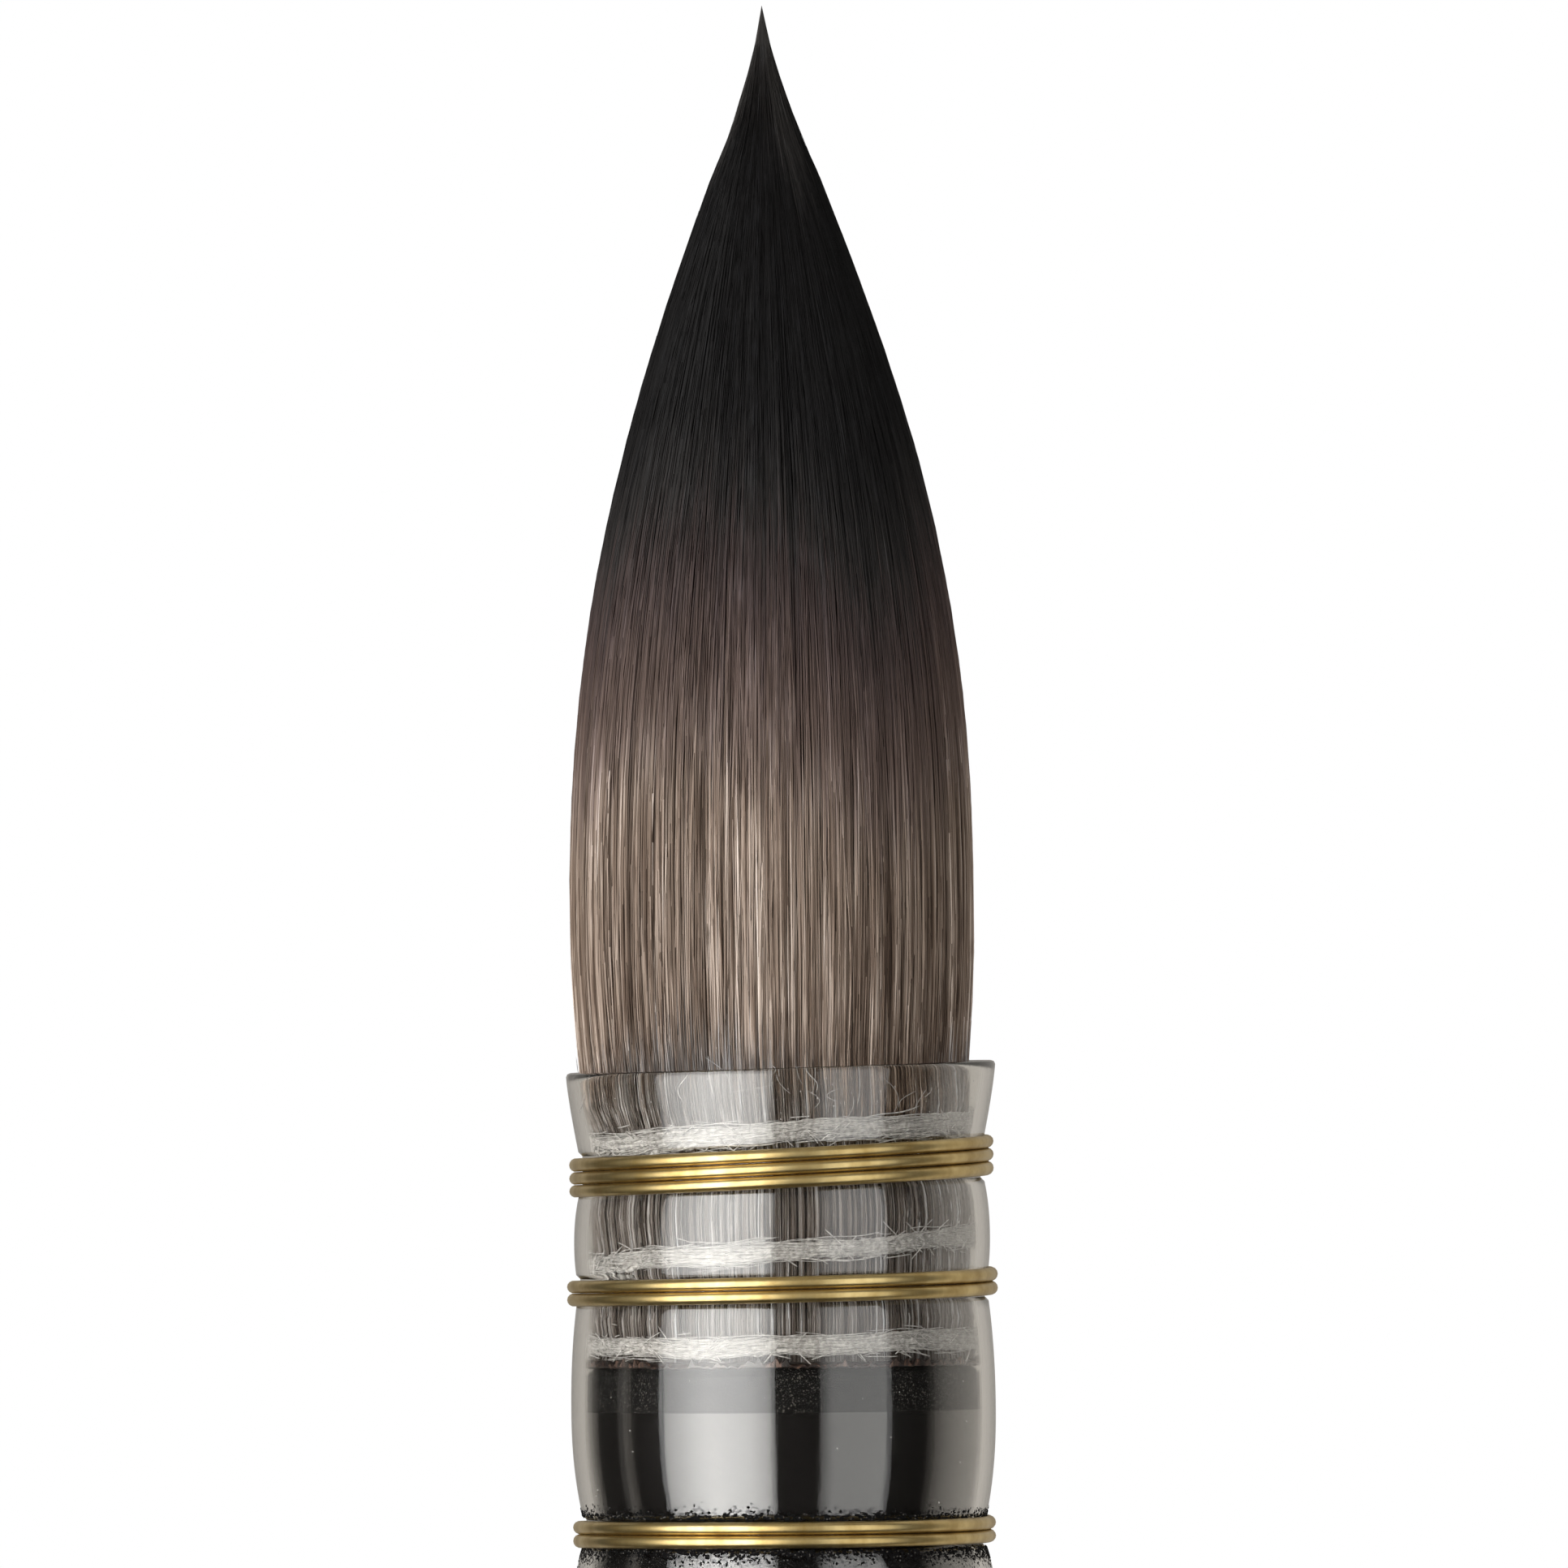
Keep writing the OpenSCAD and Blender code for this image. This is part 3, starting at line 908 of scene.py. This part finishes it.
# %% [markdown]
# Dark drops of painted shade line the two bindings that lie over the lacquer, thickly at the wire and
# thinning out within half a millimetre, with more below it than above. Pale specks of dust and painted
# glints sit under the quill, near its mouth and over the tenon. Each is a small flat drop on the
# surface, so one function makes them all: it copies one low ball, flattened, to every place.

# %% Scatter flat drops
FLAT_DROP_T = 0.018 * MM


def scatter(name, angle, depth, radius, wide, tall):
    """Flat drops at angles, depths and radii (one row each), wide across and tall along the brush."""
    deselect()
    bpy.ops.mesh.primitive_ico_sphere_add(subdivisions=1, radius=1)
    ball = bpy.context.active_object
    ball.name = name
    ball_points = coordinates(ball)
    ball_faces = [list(face.vertices) for face in ball.data.polygons]
    turned = angle + ball_points[None, :, 0] * wide / radius
    out = radius + ball_points[None, :, 2] * FLAT_DROP_T
    z = MOUTH_Z - depth + ball_points[None, :, 1] * tall
    drops = np.stack([out * np.cos(turned), out * np.sin(turned), z], axis=-1).reshape(-1, 3)
    faces = [[k + i * len(ball_points) for k in face] for i in range(len(angle)) for face in ball_faces]
    mesh = bpy.data.meshes.new(name)
    mesh.from_pydata(tilted(drops).tolist(), [], faces)
    ball.data = mesh
    print(name, "has", len(angle), "drops")
    return ball


# %% Scatter painted shade, dust and glints
SHADE_DROPS = 3600
SHARE_ABOVE = 0.32
REACH_ABOVE = 0.14 * MM
REACH_BELOW = 0.25 * MM
SHADE_DROP_CLEAR = 0.03 * MM
SHADE_DROP_SHRINK = 0.4 * MM
LACQUERED_BINDINGS = (2, 3)
SHADE_DROP_WIDE_MM = (0.02, 0.17)
SHADE_DROP_TALL_MM = (0.02, 0.06)
MOUTH_DUST_GLINTS = 110
MOUTH_DUST_GLINTS_MM = (0.1, 1.6)
TENON_DUST_GLINTS = 60
TENON_DUST_GLINTS_MM = (9, 13.2)
DUST_GLINTS_AT_FRONT = 45
DUST_GLINT_R_MM = (0.006, 0.022)

# Dark drops along the bindings are painted shade at the wire's edges.
shade_drops = []
for i in LACQUERED_BINDINGS:
    side = np.where(random.uniform(0, 1, (SHADE_DROPS, 1)) < SHARE_ABOVE, -1, 1)
    reach = np.where(side < 0, REACH_ABOVE, REACH_BELOW)
    away = np.abs(random.normal(0, 1, (SHADE_DROPS, 1))) * reach
    depth = BIND_DEPTHS[i] + side * (BIND_TURNS[i] * WIRE_R + SHADE_DROP_CLEAR + away)
    angle = random.uniform(0, 2 * math.pi, (SHADE_DROPS, 1))
    wide = random.uniform(*SHADE_DROP_WIDE_MM, (SHADE_DROPS, 1)) * MM * np.exp(-away / SHADE_DROP_SHRINK)
    tall = random.uniform(*SHADE_DROP_TALL_MM, (SHADE_DROPS, 1)) * MM
    shade_drops.append(scatter(f"painted_shade_drops_{i + 1}", angle, depth, quill_r(depth), wide, tall))

# The pale specks are dust and painted glints, most of them at the front.
mouth_depth = random.uniform(*MOUTH_DUST_GLINTS_MM, (MOUTH_DUST_GLINTS, 1))
tenon_depth = random.uniform(*TENON_DUST_GLINTS_MM, (TENON_DUST_GLINTS, 1))
depth = np.concatenate([mouth_depth, tenon_depth]) * MM
angle = random.uniform(0, 2 * math.pi, (MOUTH_DUST_GLINTS + TENON_DUST_GLINTS, 1))
angle[:DUST_GLINTS_AT_FRONT] = FRONT + random.uniform(-0.3, 0.6, (DUST_GLINTS_AT_FRONT, 1))
size = random.uniform(*DUST_GLINT_R_MM, (MOUTH_DUST_GLINTS + TENON_DUST_GLINTS, 1)) * MM
bore = quill_r(depth) - QUILL_WALL - LINT_GAP
dust_and_glint_specks = scatter("dust_and_glints_under_the_quill", angle, depth, bore, size, size * 1.4)

# %% [markdown]
# ## Hair and quill materials
# Squirrel-type hair is grey-brown at the root and almost black towards the point, and each hair
# changes colour at its own height. The map OFBake holds that: v runs from root to point, and each
# column of u stands for one of 16 tones and one of 16 heights of the change. Hairs also cling in
# locks, about 0.22 mm wide and 7 mm long, that a stretched noise draws over the tones. Tones are
# factors for the colour, so the palest are above 1. They matter less towards the black end, so they
# fade there.

# %% Soft grey-brown hair
LOCK_W = 0.22 * MM
LOCK_L = 7 * MM
squirrel_hair, tree = new_material("squirrel_hair")
place = add(tree, "ShaderNodeUVMap", uv_map="OFBake")
axes = add(tree, "ShaderNodeSeparateXYZ", {"Vector": place.outputs["UV"]})
columns = add(tree, "ShaderNodeMath", {0: axes.outputs["X"], 1: float(TONES)}, operation="MULTIPLY")
tone_step = add(tree, "ShaderNodeMath", {0: columns.outputs[0]}, operation="FLOOR")
shift_step = add(tree, "ShaderNodeMath", {0: columns.outputs[0]}, operation="FRACT")
tone_share = add(tree, "ShaderNodeMapRange", {"Value": tone_step.outputs[0], "From Max": TONES - 1.0})
# The tone also carries painted shade and light: deeper hairs, the body and some sides are darker.
tone = add(tree, "ShaderNodeValToRGB", {"Fac": tone_share.outputs[0]})
set_stops(
    tone,
    [
        (0.0, (0.27, 0.24, 0.22, 1.0)),
        (0.35, (0.7, 0.67, 0.65, 1.0)),
        (0.7, (1.38, 1.4, 1.44, 1.0)),
        (1.0, (2.2, 2.37, 2.58, 1.0)),
    ],
)
shift = add(
    tree,
    "ShaderNodeMapRange",
    {"Value": shift_step.outputs[0], "To Min": -0.1, "To Max": 0.1},
)
along = add(tree, "ShaderNodeMath", {0: axes.outputs["Y"], 1: shift.outputs[0]}, operation="ADD")
by_height = add(tree, "ShaderNodeValToRGB", {"Fac": along.outputs[0]})
set_stops(
    by_height,
    [
        (0.0, colour("6B6764")),
        (0.205, colour("6E6965")),
        (0.24, colour("7A6C60")),
        (0.4, colour("7A6C60")),
        (0.453, colour("62554E")),
        (0.489, colour("51443E")),
        (0.561, colour("3A302E")),
        (0.633, colour("22201F")),
        (0.7, colour("121111")),
        (0.9, colour("100F0F")),
        (0.94, colour("282625")),
        (1.0, colour("383634")),
    ],
)
coordinate = add(tree, "ShaderNodeTexCoord")
drawn_out = add(
    tree,
    "ShaderNodeMapping",
    {"Vector": coordinate.outputs["Object"], "Scale": (1 / LOCK_W, 1 / LOCK_W, 1 / LOCK_L)},
)
locks = add(tree, "ShaderNodeTexNoise", {"Vector": drawn_out.outputs[0], "Scale": 1.0, "Detail": 2.0})
lock_tone = add(tree, "ShaderNodeValToRGB", {"Fac": locks.outputs["Fac"]})
set_stops(
    lock_tone,
    [
        (0.34, (0.58, 0.53, 0.5, 1.0)),
        (0.5, (0.93, 0.91, 0.9, 1.0)),
        (0.66, (1.46, 1.53, 1.6, 1.0)),
    ],
)
both_tones = add(
    tree,
    "ShaderNodeVectorMath",
    {0: tone.outputs["Color"], 1: lock_tone.outputs["Color"]},
    operation="MULTIPLY",
)
tone_shows = add(
    tree,
    "ShaderNodeMapRange",
    {"Value": along.outputs[0], "From Min": 0.38, "From Max": 0.55, "To Min": 1.0, "To Max": 0.35},
)
eased_tone = add(
    tree,
    "ShaderNodeMix",
    {"Factor": tone_shows.outputs[0], "A": (1.0, 1.0, 1.0, 1.0), "B": both_tones.outputs[0]},
    data_type="RGBA",
)
toned = add(
    tree,
    "ShaderNodeVectorMath",
    {0: by_height.outputs["Color"], 1: eased_tone.outputs["Result"]},
    operation="MULTIPLY",
)
hair_shader = add(
    tree,
    "ShaderNodeBsdfPrincipled",
    {"Base Color": toned.outputs[0], "Roughness": 0.55, "Specular IOR Level": 0.1},
)
add(tree, "ShaderNodeOutputMaterial", {"Surface": hair_shader.outputs[0]})
for piece in [body] + hairs:
    piece.data.materials.append(squirrel_hair)
print(squirrel_hair.name, "is on", 1 + len(hairs), "pieces")

# %% [markdown]
# A goose quill is scraped and heat-cured keratin, and a clear plastic tube stands in for it on most
# brushes. Both are clear, smooth and faintly streaked along their length. The streaks are a fine
# bump, 0.14 mm wide and many times longer. A little grey-brown absorption in the wall darkens it where
# it is seen edge on. Lamps shine through the wall onto the hair, so shadow rays pass straight through.

# %% Clear quill
STREAK_W = 0.14 * MM
STREAK_L = 25 * MM
clear_quill, tree = new_material("clear_plastic_quill")
place = add(tree, "ShaderNodeTexCoord")
stretched = add(
    tree,
    "ShaderNodeMapping",
    {"Vector": place.outputs["Object"], "Scale": (1 / STREAK_W, 1 / STREAK_W, 1 / STREAK_L)},
)
streaks = add(tree, "ShaderNodeTexNoise", {"Vector": stretched.outputs[0], "Scale": 1.0, "Detail": 3.0})
relief = add(
    tree,
    "ShaderNodeBump",
    {"Height": streaks.outputs["Fac"], "Strength": 0.15, "Distance": 0.01 * MM},
)
glass = add(
    tree,
    "ShaderNodeBsdfPrincipled",
    {
        "Base Color": colour("FBFAF7"),
        "Roughness": 0.05,
        "IOR": 1.48,
        "Transmission Weight": 1.0,
        "Normal": relief.outputs[0],
    },
)
path = add(tree, "ShaderNodeLightPath")
clear = add(tree, "ShaderNodeBsdfTransparent", {"Color": colour("F2F0EC")})
mixed = add(
    tree,
    "ShaderNodeMixShader",
    {0: path.outputs["Is Shadow Ray"], 1: glass.outputs[0], 2: clear.outputs[0]},
)
smoke = add(tree, "ShaderNodeVolumeAbsorption", {"Color": colour("CAC5BE"), "Density": 0.24 / MM})
add(tree, "ShaderNodeOutputMaterial", {"Surface": mixed.outputs[0], "Volume": smoke.outputs[0]})
quill.data.materials.append(clear_quill)
print(clear_quill.name, "lets lamps through onto the hair")

# %% [markdown]
# ## Brass, cotton and resin
# Drawn brass wire is bright yellow, with fine scratches along its length from the die and faint brown
# tarnish where fingers touched it. The bump is fine and the tarnish only changes colour and gloss.

# %% Drawn brass
drawn_brass, tree = new_material("drawn_brass_wire")
place = add(tree, "ShaderNodeTexCoord")
stain = add(
    tree,
    "ShaderNodeTexNoise",
    {"Vector": place.outputs["Object"], "Scale": 1 / (0.9 * MM), "Detail": 4.0, "Roughness": 0.6},
)
tarnish = add(tree, "ShaderNodeValToRGB", {"Fac": stain.outputs["Fac"]})
set_stops(tarnish, [(0.33, colour("A28A56")), (0.66, colour("C4AF7B"))])
dullness = add(
    tree,
    "ShaderNodeMapRange",
    {"Value": stain.outputs["Fac"], "From Min": 0.3, "From Max": 0.7, "To Min": 0.4, "To Max": 0.3},
)
grain = add(
    tree,
    "ShaderNodeTexNoise",
    {"Vector": place.outputs["Object"], "Scale": 1 / (0.05 * MM), "Detail": 2.0},
)
relief = add(
    tree, "ShaderNodeBump", {"Height": grain.outputs["Fac"], "Strength": 0.1, "Distance": 0.01 * MM}
)
metal = add(
    tree,
    "ShaderNodeBsdfPrincipled",
    {
        "Base Color": tarnish.outputs["Color"],
        "Metallic": 1.0,
        "Roughness": dullness.outputs[0],
        "Normal": relief.outputs[0],
    },
)
add(tree, "ShaderNodeOutputMaterial", {"Surface": metal.outputs[0]})
for piece in wires:
    piece.data.materials.append(drawn_brass)
print(drawn_brass.name, "is on", len(wires), "bindings")

# %% [markdown]
# Cotton thread is off-white and matt. Light spreads inside its fibres, which the sheen and clumps of
# lighter and darker fibres about 0.12 mm wide suggest. Lint, dust and the painted glints are made of the
# same stuff.

# %% White cotton
white_cotton, tree = new_material("soft_cotton_thread")
place = add(tree, "ShaderNodeTexCoord")
clumps = add(
    tree,
    "ShaderNodeTexNoise",
    {"Vector": place.outputs["Object"], "Scale": 1 / (0.12 * MM), "Detail": 3.0},
)
cream = add(tree, "ShaderNodeValToRGB", {"Fac": clumps.outputs["Fac"]})
set_stops(cream, [(0.34, colour("7C7A78")), (0.64, colour("B4B3B2"))])
cloth = add(
    tree,
    "ShaderNodeBsdfPrincipled",
    {
        "Base Color": cream.outputs["Color"],
        "Roughness": 0.9,
        "Sheen Weight": 0.3,
        "Specular IOR Level": 0.3,
    },
)
add(tree, "ShaderNodeOutputMaterial", {"Surface": cloth.outputs[0]})
# The dust specks are partly painted glints.
for piece in ties + [lint, dust_and_glint_specks]:
    piece.data.materials.append(white_cotton)
print(white_cotton.name, "is on", len(ties), "ties, the lint and the dust")

# %% [markdown]
# The resin is a dark shellac brown, streaked upwards where it has run along the ends of the hairs.
# The streaks are 0.06 mm wide and ten times as long.

# %% Brown resin
RUN_W = 0.06 * MM
RUN_L = 0.6 * MM
brown_resin, tree = new_material("brown_shellac_resin")
place = add(tree, "ShaderNodeTexCoord")
drawn_out = add(
    tree,
    "ShaderNodeMapping",
    {"Vector": place.outputs["Object"], "Scale": (1 / RUN_W, 1 / RUN_W, 1 / RUN_L)},
)
blots = add(tree, "ShaderNodeTexNoise", {"Vector": drawn_out.outputs[0], "Scale": 1.0, "Detail": 3.0})
amber = add(tree, "ShaderNodeValToRGB", {"Fac": blots.outputs["Fac"]})
set_stops(amber, [(0.42, colour("0D0807")), (0.54, colour("241915")), (0.64, colour("5A463D"))])
varnish = add(
    tree,
    "ShaderNodeBsdfPrincipled",
    {"Base Color": amber.outputs["Color"], "Roughness": 0.3, "IOR": 1.52},
)
add(tree, "ShaderNodeOutputMaterial", {"Surface": varnish.outputs[0]})
resin.data.materials.append(brown_resin)
print(brown_resin.name, "is on", resin.name)

# %% [markdown]
# ## Black lacquer and stained wood
# Dipped lacquer dries with a faint orange peel, waves about 1.5 mm wide, and a few specks of dust are
# caught in it. The end of the tenon is bare wood, stained black and matt, with a pale fleck every
# 0.09 mm or so where the stain did not take. The drops of painted shade along the bindings are as dark
# and matt.

# %% Black lacquer
black_lacquer, tree = new_material("black_dipped_lacquer")
place = add(tree, "ShaderNodeTexCoord")
peel = add(
    tree,
    "ShaderNodeTexNoise",
    {"Vector": place.outputs["Object"], "Scale": 1 / (1.5 * MM), "Detail": 1.0},
)
dust = add(
    tree, "ShaderNodeTexVoronoi", {"Vector": place.outputs["Object"], "Scale": 1 / (1.1 * MM)}
)
speck = add(
    tree,
    "ShaderNodeMapRange",
    {"Value": dust.outputs["Distance"], "From Min": 0.02, "From Max": 0.07, "To Min": 1.0, "To Max": 0.0},
)
height = add(tree, "ShaderNodeMath", {0: peel.outputs["Fac"], 1: speck.outputs[0]}, operation="ADD")
relief = add(
    tree, "ShaderNodeBump", {"Height": height.outputs[0], "Strength": 0.08, "Distance": 0.03 * MM}
)
gloss = add(
    tree,
    "ShaderNodeMapRange",
    {"Value": peel.outputs["Fac"], "From Min": 0.3, "From Max": 0.7, "To Min": 0.05, "To Max": 0.1},
)
lacquer = add(
    tree,
    "ShaderNodeBsdfPrincipled",
    {
        "Base Color": colour("0B0A0A"),
        "Roughness": gloss.outputs[0],
        "IOR": 1.52,
        "Normal": relief.outputs[0],
    },
)
add(tree, "ShaderNodeOutputMaterial", {"Surface": lacquer.outputs[0]})
print(black_lacquer.name, "has", len(tree.nodes), "nodes")

# %% Stained end of the tenon
stained_wood, tree = new_material("black_stained_wood")
place = add(tree, "ShaderNodeTexCoord")
flecks = add(
    tree, "ShaderNodeTexVoronoi", {"Vector": place.outputs["Object"], "Scale": 1 / (0.09 * MM)}
)
stained = add(tree, "ShaderNodeValToRGB", {"Fac": flecks.outputs["Distance"]})
set_stops(stained, [(0.08, colour("605D59")), (0.28, colour("0C0B0B")), (0.5, colour("050505"))])
relief = add(
    tree,
    "ShaderNodeBump",
    {"Height": flecks.outputs["Distance"], "Strength": 0.15, "Distance": 0.02 * MM},
)
matt = add(
    tree,
    "ShaderNodeBsdfPrincipled",
    {
        "Base Color": stained.outputs["Color"],
        "Roughness": 0.8,
        "Specular IOR Level": 0.08,
        "Normal": relief.outputs[0],
    },
)
add(tree, "ShaderNodeOutputMaterial", {"Surface": matt.outputs[0]})
handle.data.materials.append(black_lacquer)
handle.data.materials.append(stained_wood)
# The drops of painted shade take the stained wood's dark matt finish.
for piece in shade_drops:
    piece.data.materials.append(stained_wood)
bare = [face for face in handle.data.polygons if face.center.z > LACQUER_END + 0.01 * MM]
for face in bare:
    face.material_index = 1
print(len(bare), "faces of the tenon are bare wood")

# %% [markdown]
# ## What carries each piece
# The whole brush is one rigid body, so every piece rides on it. The pieces are listed by the finish
# each stands for.

# %% Ride, listed by finish
finishes = {"hair": [body] + hairs, "resin": [resin], "cotton_thread": ties + [lint, dust_and_glint_specks]}
finishes.update({"clear_quill": [quill], "brass_wire": wires, "lacquered_wood": [handle] + shade_drops})
for slot, pieces in finishes.items():
    for piece in pieces:
        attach(piece, "root")
    print(slot, "holds", len(pieces), "pieces")

# %% [markdown]
# ## Camera
# The camera looks level along +Y, a little above the mouth of the quill, from so far away and through
# so long a lens that the brush hardly shows perspective. It leans by half a degree.

# %% Set up the camera
VIEW_W = 47.12 * MM
CAMERA_Y = 1.2
CAMERA_X = 0.178 * MM
CAMERA_RISE = 8.61 * MM
CAMERA_LEAN = 0.5
SENSOR_W = 36
camera_data = bpy.data.cameras.new("camera")
camera_data.sensor_width = SENSOR_W
camera_data.lens = SENSOR_W * CAMERA_Y / VIEW_W
camera_data.clip_end = 100
camera = bpy.data.objects.new("camera", camera_data)
bpy.context.collection.objects.link(camera)
camera.location = (CAMERA_X, -CAMERA_Y, MOUTH_Z + CAMERA_RISE)
camera.rotation_euler = (math.radians(90), math.radians(CAMERA_LEAN), 0)
scene = bpy.context.scene
scene.camera = camera
scene.view_settings.view_transform = "Standard"
print("camera sees", round(VIEW_W / MM, 1), "mm with a lens of", round(camera_data.lens), "mm")

# %% [markdown]
# ## Light
# A large soft box stands to the left and front, and a weaker panel to the right. The soft box fades
# towards its sides, and the panel towards one of them. The camera doesn't see the lamps themselves.


# %% Set up the lamps
def soft_box(name, azimuth, distance, width, height, radiance, falloff):
    """A panel that faces the brush. Azimuth 0 is the camera's side, and positive is to its right."""
    lamp_data = bpy.data.lights.new(name, "AREA")
    lamp_data.shape = "RECTANGLE"
    lamp_data.size = width
    lamp_data.size_y = height
    lamp_data.energy = radiance * math.pi * width * height
    lamp_data.use_nodes = True
    tree = lamp_data.node_tree
    tree.nodes.clear()
    face = add(tree, "ShaderNodeNewGeometry")
    across = add(tree, "ShaderNodeSeparateXYZ", {"Vector": face.outputs["Parametric"]})
    spread = add(tree, "ShaderNodeValToRGB", {"Fac": across.outputs["X"]})
    set_stops(spread, [(place, (level, level, level, 1.0)) for place, level in falloff])
    glow = add(tree, "ShaderNodeEmission", {"Strength": spread.outputs["Color"]})
    add(tree, "ShaderNodeOutputLight", {"Surface": glow.outputs[0]})
    lamp = bpy.data.objects.new(name, lamp_data)
    bpy.context.collection.objects.link(lamp)
    angle = math.radians(azimuth)
    lamp.location = (distance * math.sin(angle), -distance * math.cos(angle), MOUTH_Z)
    lamp.rotation_euler = (math.radians(90), 0, angle)
    lamp.visible_camera = False
    return lamp


SOFT_BOX_GLOW = [(0.0, 0.4), (0.45, 1.0), (0.75, 0.82), (0.92, 0.55), (1.0, 0.15)]
SIDE_PANEL_GLOW = [(0.0, 0.25), (0.2, 0.95), (1.0, 1.0)]
soft_box(
    "soft_box",
    azimuth=-38,
    distance=0.6,
    width=0.8,
    height=1.0,
    radiance=6.9,
    falloff=SOFT_BOX_GLOW,
)
soft_box(
    "side_panel",
    azimuth=40.5,
    distance=0.6,
    width=0.45,
    height=1.0,
    radiance=1.8,
    falloff=SIDE_PANEL_GLOW,
)
print("lamps:", len(bpy.data.lights))

# %% [markdown]
# The studio round the brush is a world that answers each kind of ray. The camera sees a white backdrop.
# Mirror-like and clear surfaces see slightly warm grey walls behind and beside the brush, one narrow
# bright gap on the left, a pale ceiling, and darkness in front, which gives black lacquer and brass
# their contrast. Soft light comes mostly from behind. Azimuth 0 is the camera's side again.

# %% Build the studio
WALL_LEVELS = (
    (-180, 0.36),
    (-142, 0.5),
    (-133, 0.4),
    (-127, 0.03),
    (-104, 0.03),
    (-101, 0.5),
    (-97, 0.5),
    (-94, 0.04),
    (88, 0.03),
    (97, 0.55),
    (105, 0.75),
    (116, 0.8),
    (137, 0.58),
    (180, 0.36),
)
world = bpy.data.worlds.new("studio")
scene.world = world
world.use_nodes = True
tree = world.node_tree
tree.nodes.clear()
path = add(tree, "ShaderNodeLightPath")
place = add(tree, "ShaderNodeTexCoord")
axes = add(tree, "ShaderNodeSeparateXYZ", {"Vector": place.outputs["Generated"]})
toward = add(tree, "ShaderNodeMath", {0: axes.outputs["Y"], 1: -1.0}, operation="MULTIPLY")
azimuth = add(
    tree, "ShaderNodeMath", {0: axes.outputs["X"], 1: toward.outputs[0]}, operation="ARCTAN2"
)
turned = add(
    tree, "ShaderNodeMapRange", {"Value": azimuth.outputs[0], "From Min": -math.pi, "From Max": math.pi}
)
walls = add(tree, "ShaderNodeValToRGB", {"Fac": turned.outputs[0]})
set_stops(walls, [((degrees + 180) / 360, (grey, grey, grey, 1.0)) for degrees, grey in WALL_LEVELS])
overhead = add(
    tree, "ShaderNodeMapRange", {"Value": axes.outputs["Z"], "From Min": 0.7, "From Max": 0.95}
)
room = add(
    tree,
    "ShaderNodeMix",
    {"Factor": overhead.outputs[0], "A": walls.outputs["Color"], "B": (0.5, 0.49, 0.47, 1.0)},
    data_type="RGBA",
)
softly = add(
    tree,
    "ShaderNodeMapRange",
    {"Value": axes.outputs["Y"], "From Min": -0.3, "From Max": 0.3, "To Min": 0.35, "To Max": 1.0},
)
sharp = add(
    tree,
    "ShaderNodeMath",
    {0: path.outputs["Is Glossy Ray"], 1: path.outputs["Is Transmission Ray"]},
    operation="MAXIMUM",
)
by_ray = add(
    tree,
    "ShaderNodeMix",
    {"Factor": sharp.outputs[0], "A": softly.outputs[0], "B": room.outputs["Result"]},
)
strength = add(
    tree,
    "ShaderNodeMix",
    {"Factor": path.outputs["Is Camera Ray"], "A": by_ray.outputs["Result"], "B": 1.0},
)
warmth = add(
    tree,
    "ShaderNodeMix",
    {"Factor": sharp.outputs[0], "A": colour("FFFFFF"), "B": colour("FFF9F0")},
    data_type="RGBA",
)
sky = add(
    tree,
    "ShaderNodeBackground",
    {"Color": warmth.outputs["Result"], "Strength": strength.outputs["Result"]},
)
add(tree, "ShaderNodeOutputWorld", {"Surface": sky.outputs[0]})
print("studio has", len(tree.nodes), "nodes")

# %% [markdown]
# ## Floor
# The brush stands on a plain pale floor, which only shows in views from other sides. A little glow,
# seen by the camera alone, lifts the floor to the white of the backdrop, so that no horizon shows.
# Clear and shiny surfaces don't see the floor, because the studio's walls are what they show.

# %% Lay the floor
FLOOR_R = 4.0
FLOOR_LIFT = 0.48
deselect()
bpy.ops.mesh.primitive_circle_add(vertices=96, radius=FLOOR_R, fill_type="NGON")
floor = bpy.context.active_object
floor.name = "studio_floor"
pale_floor, tree = new_material("pale_floor_paint")
paint = add(tree, "ShaderNodeBsdfPrincipled", {"Base Color": colour("E9E9E7"), "Roughness": 0.85})
path = add(tree, "ShaderNodeLightPath")
lift = add(
    tree, "ShaderNodeMath", {0: path.outputs["Is Camera Ray"], 1: FLOOR_LIFT}, operation="MULTIPLY"
)
glow = add(tree, "ShaderNodeEmission", {"Strength": lift.outputs[0]})
lit = add(tree, "ShaderNodeAddShader", {0: paint.outputs[0], 1: glow.outputs[0]})
add(tree, "ShaderNodeOutputMaterial", {"Surface": lit.outputs[0]})
floor.data.materials.append(pale_floor)
floor.visible_glossy = False
floor.visible_transmission = False
print("floor is", FLOOR_R * 2, "m across")
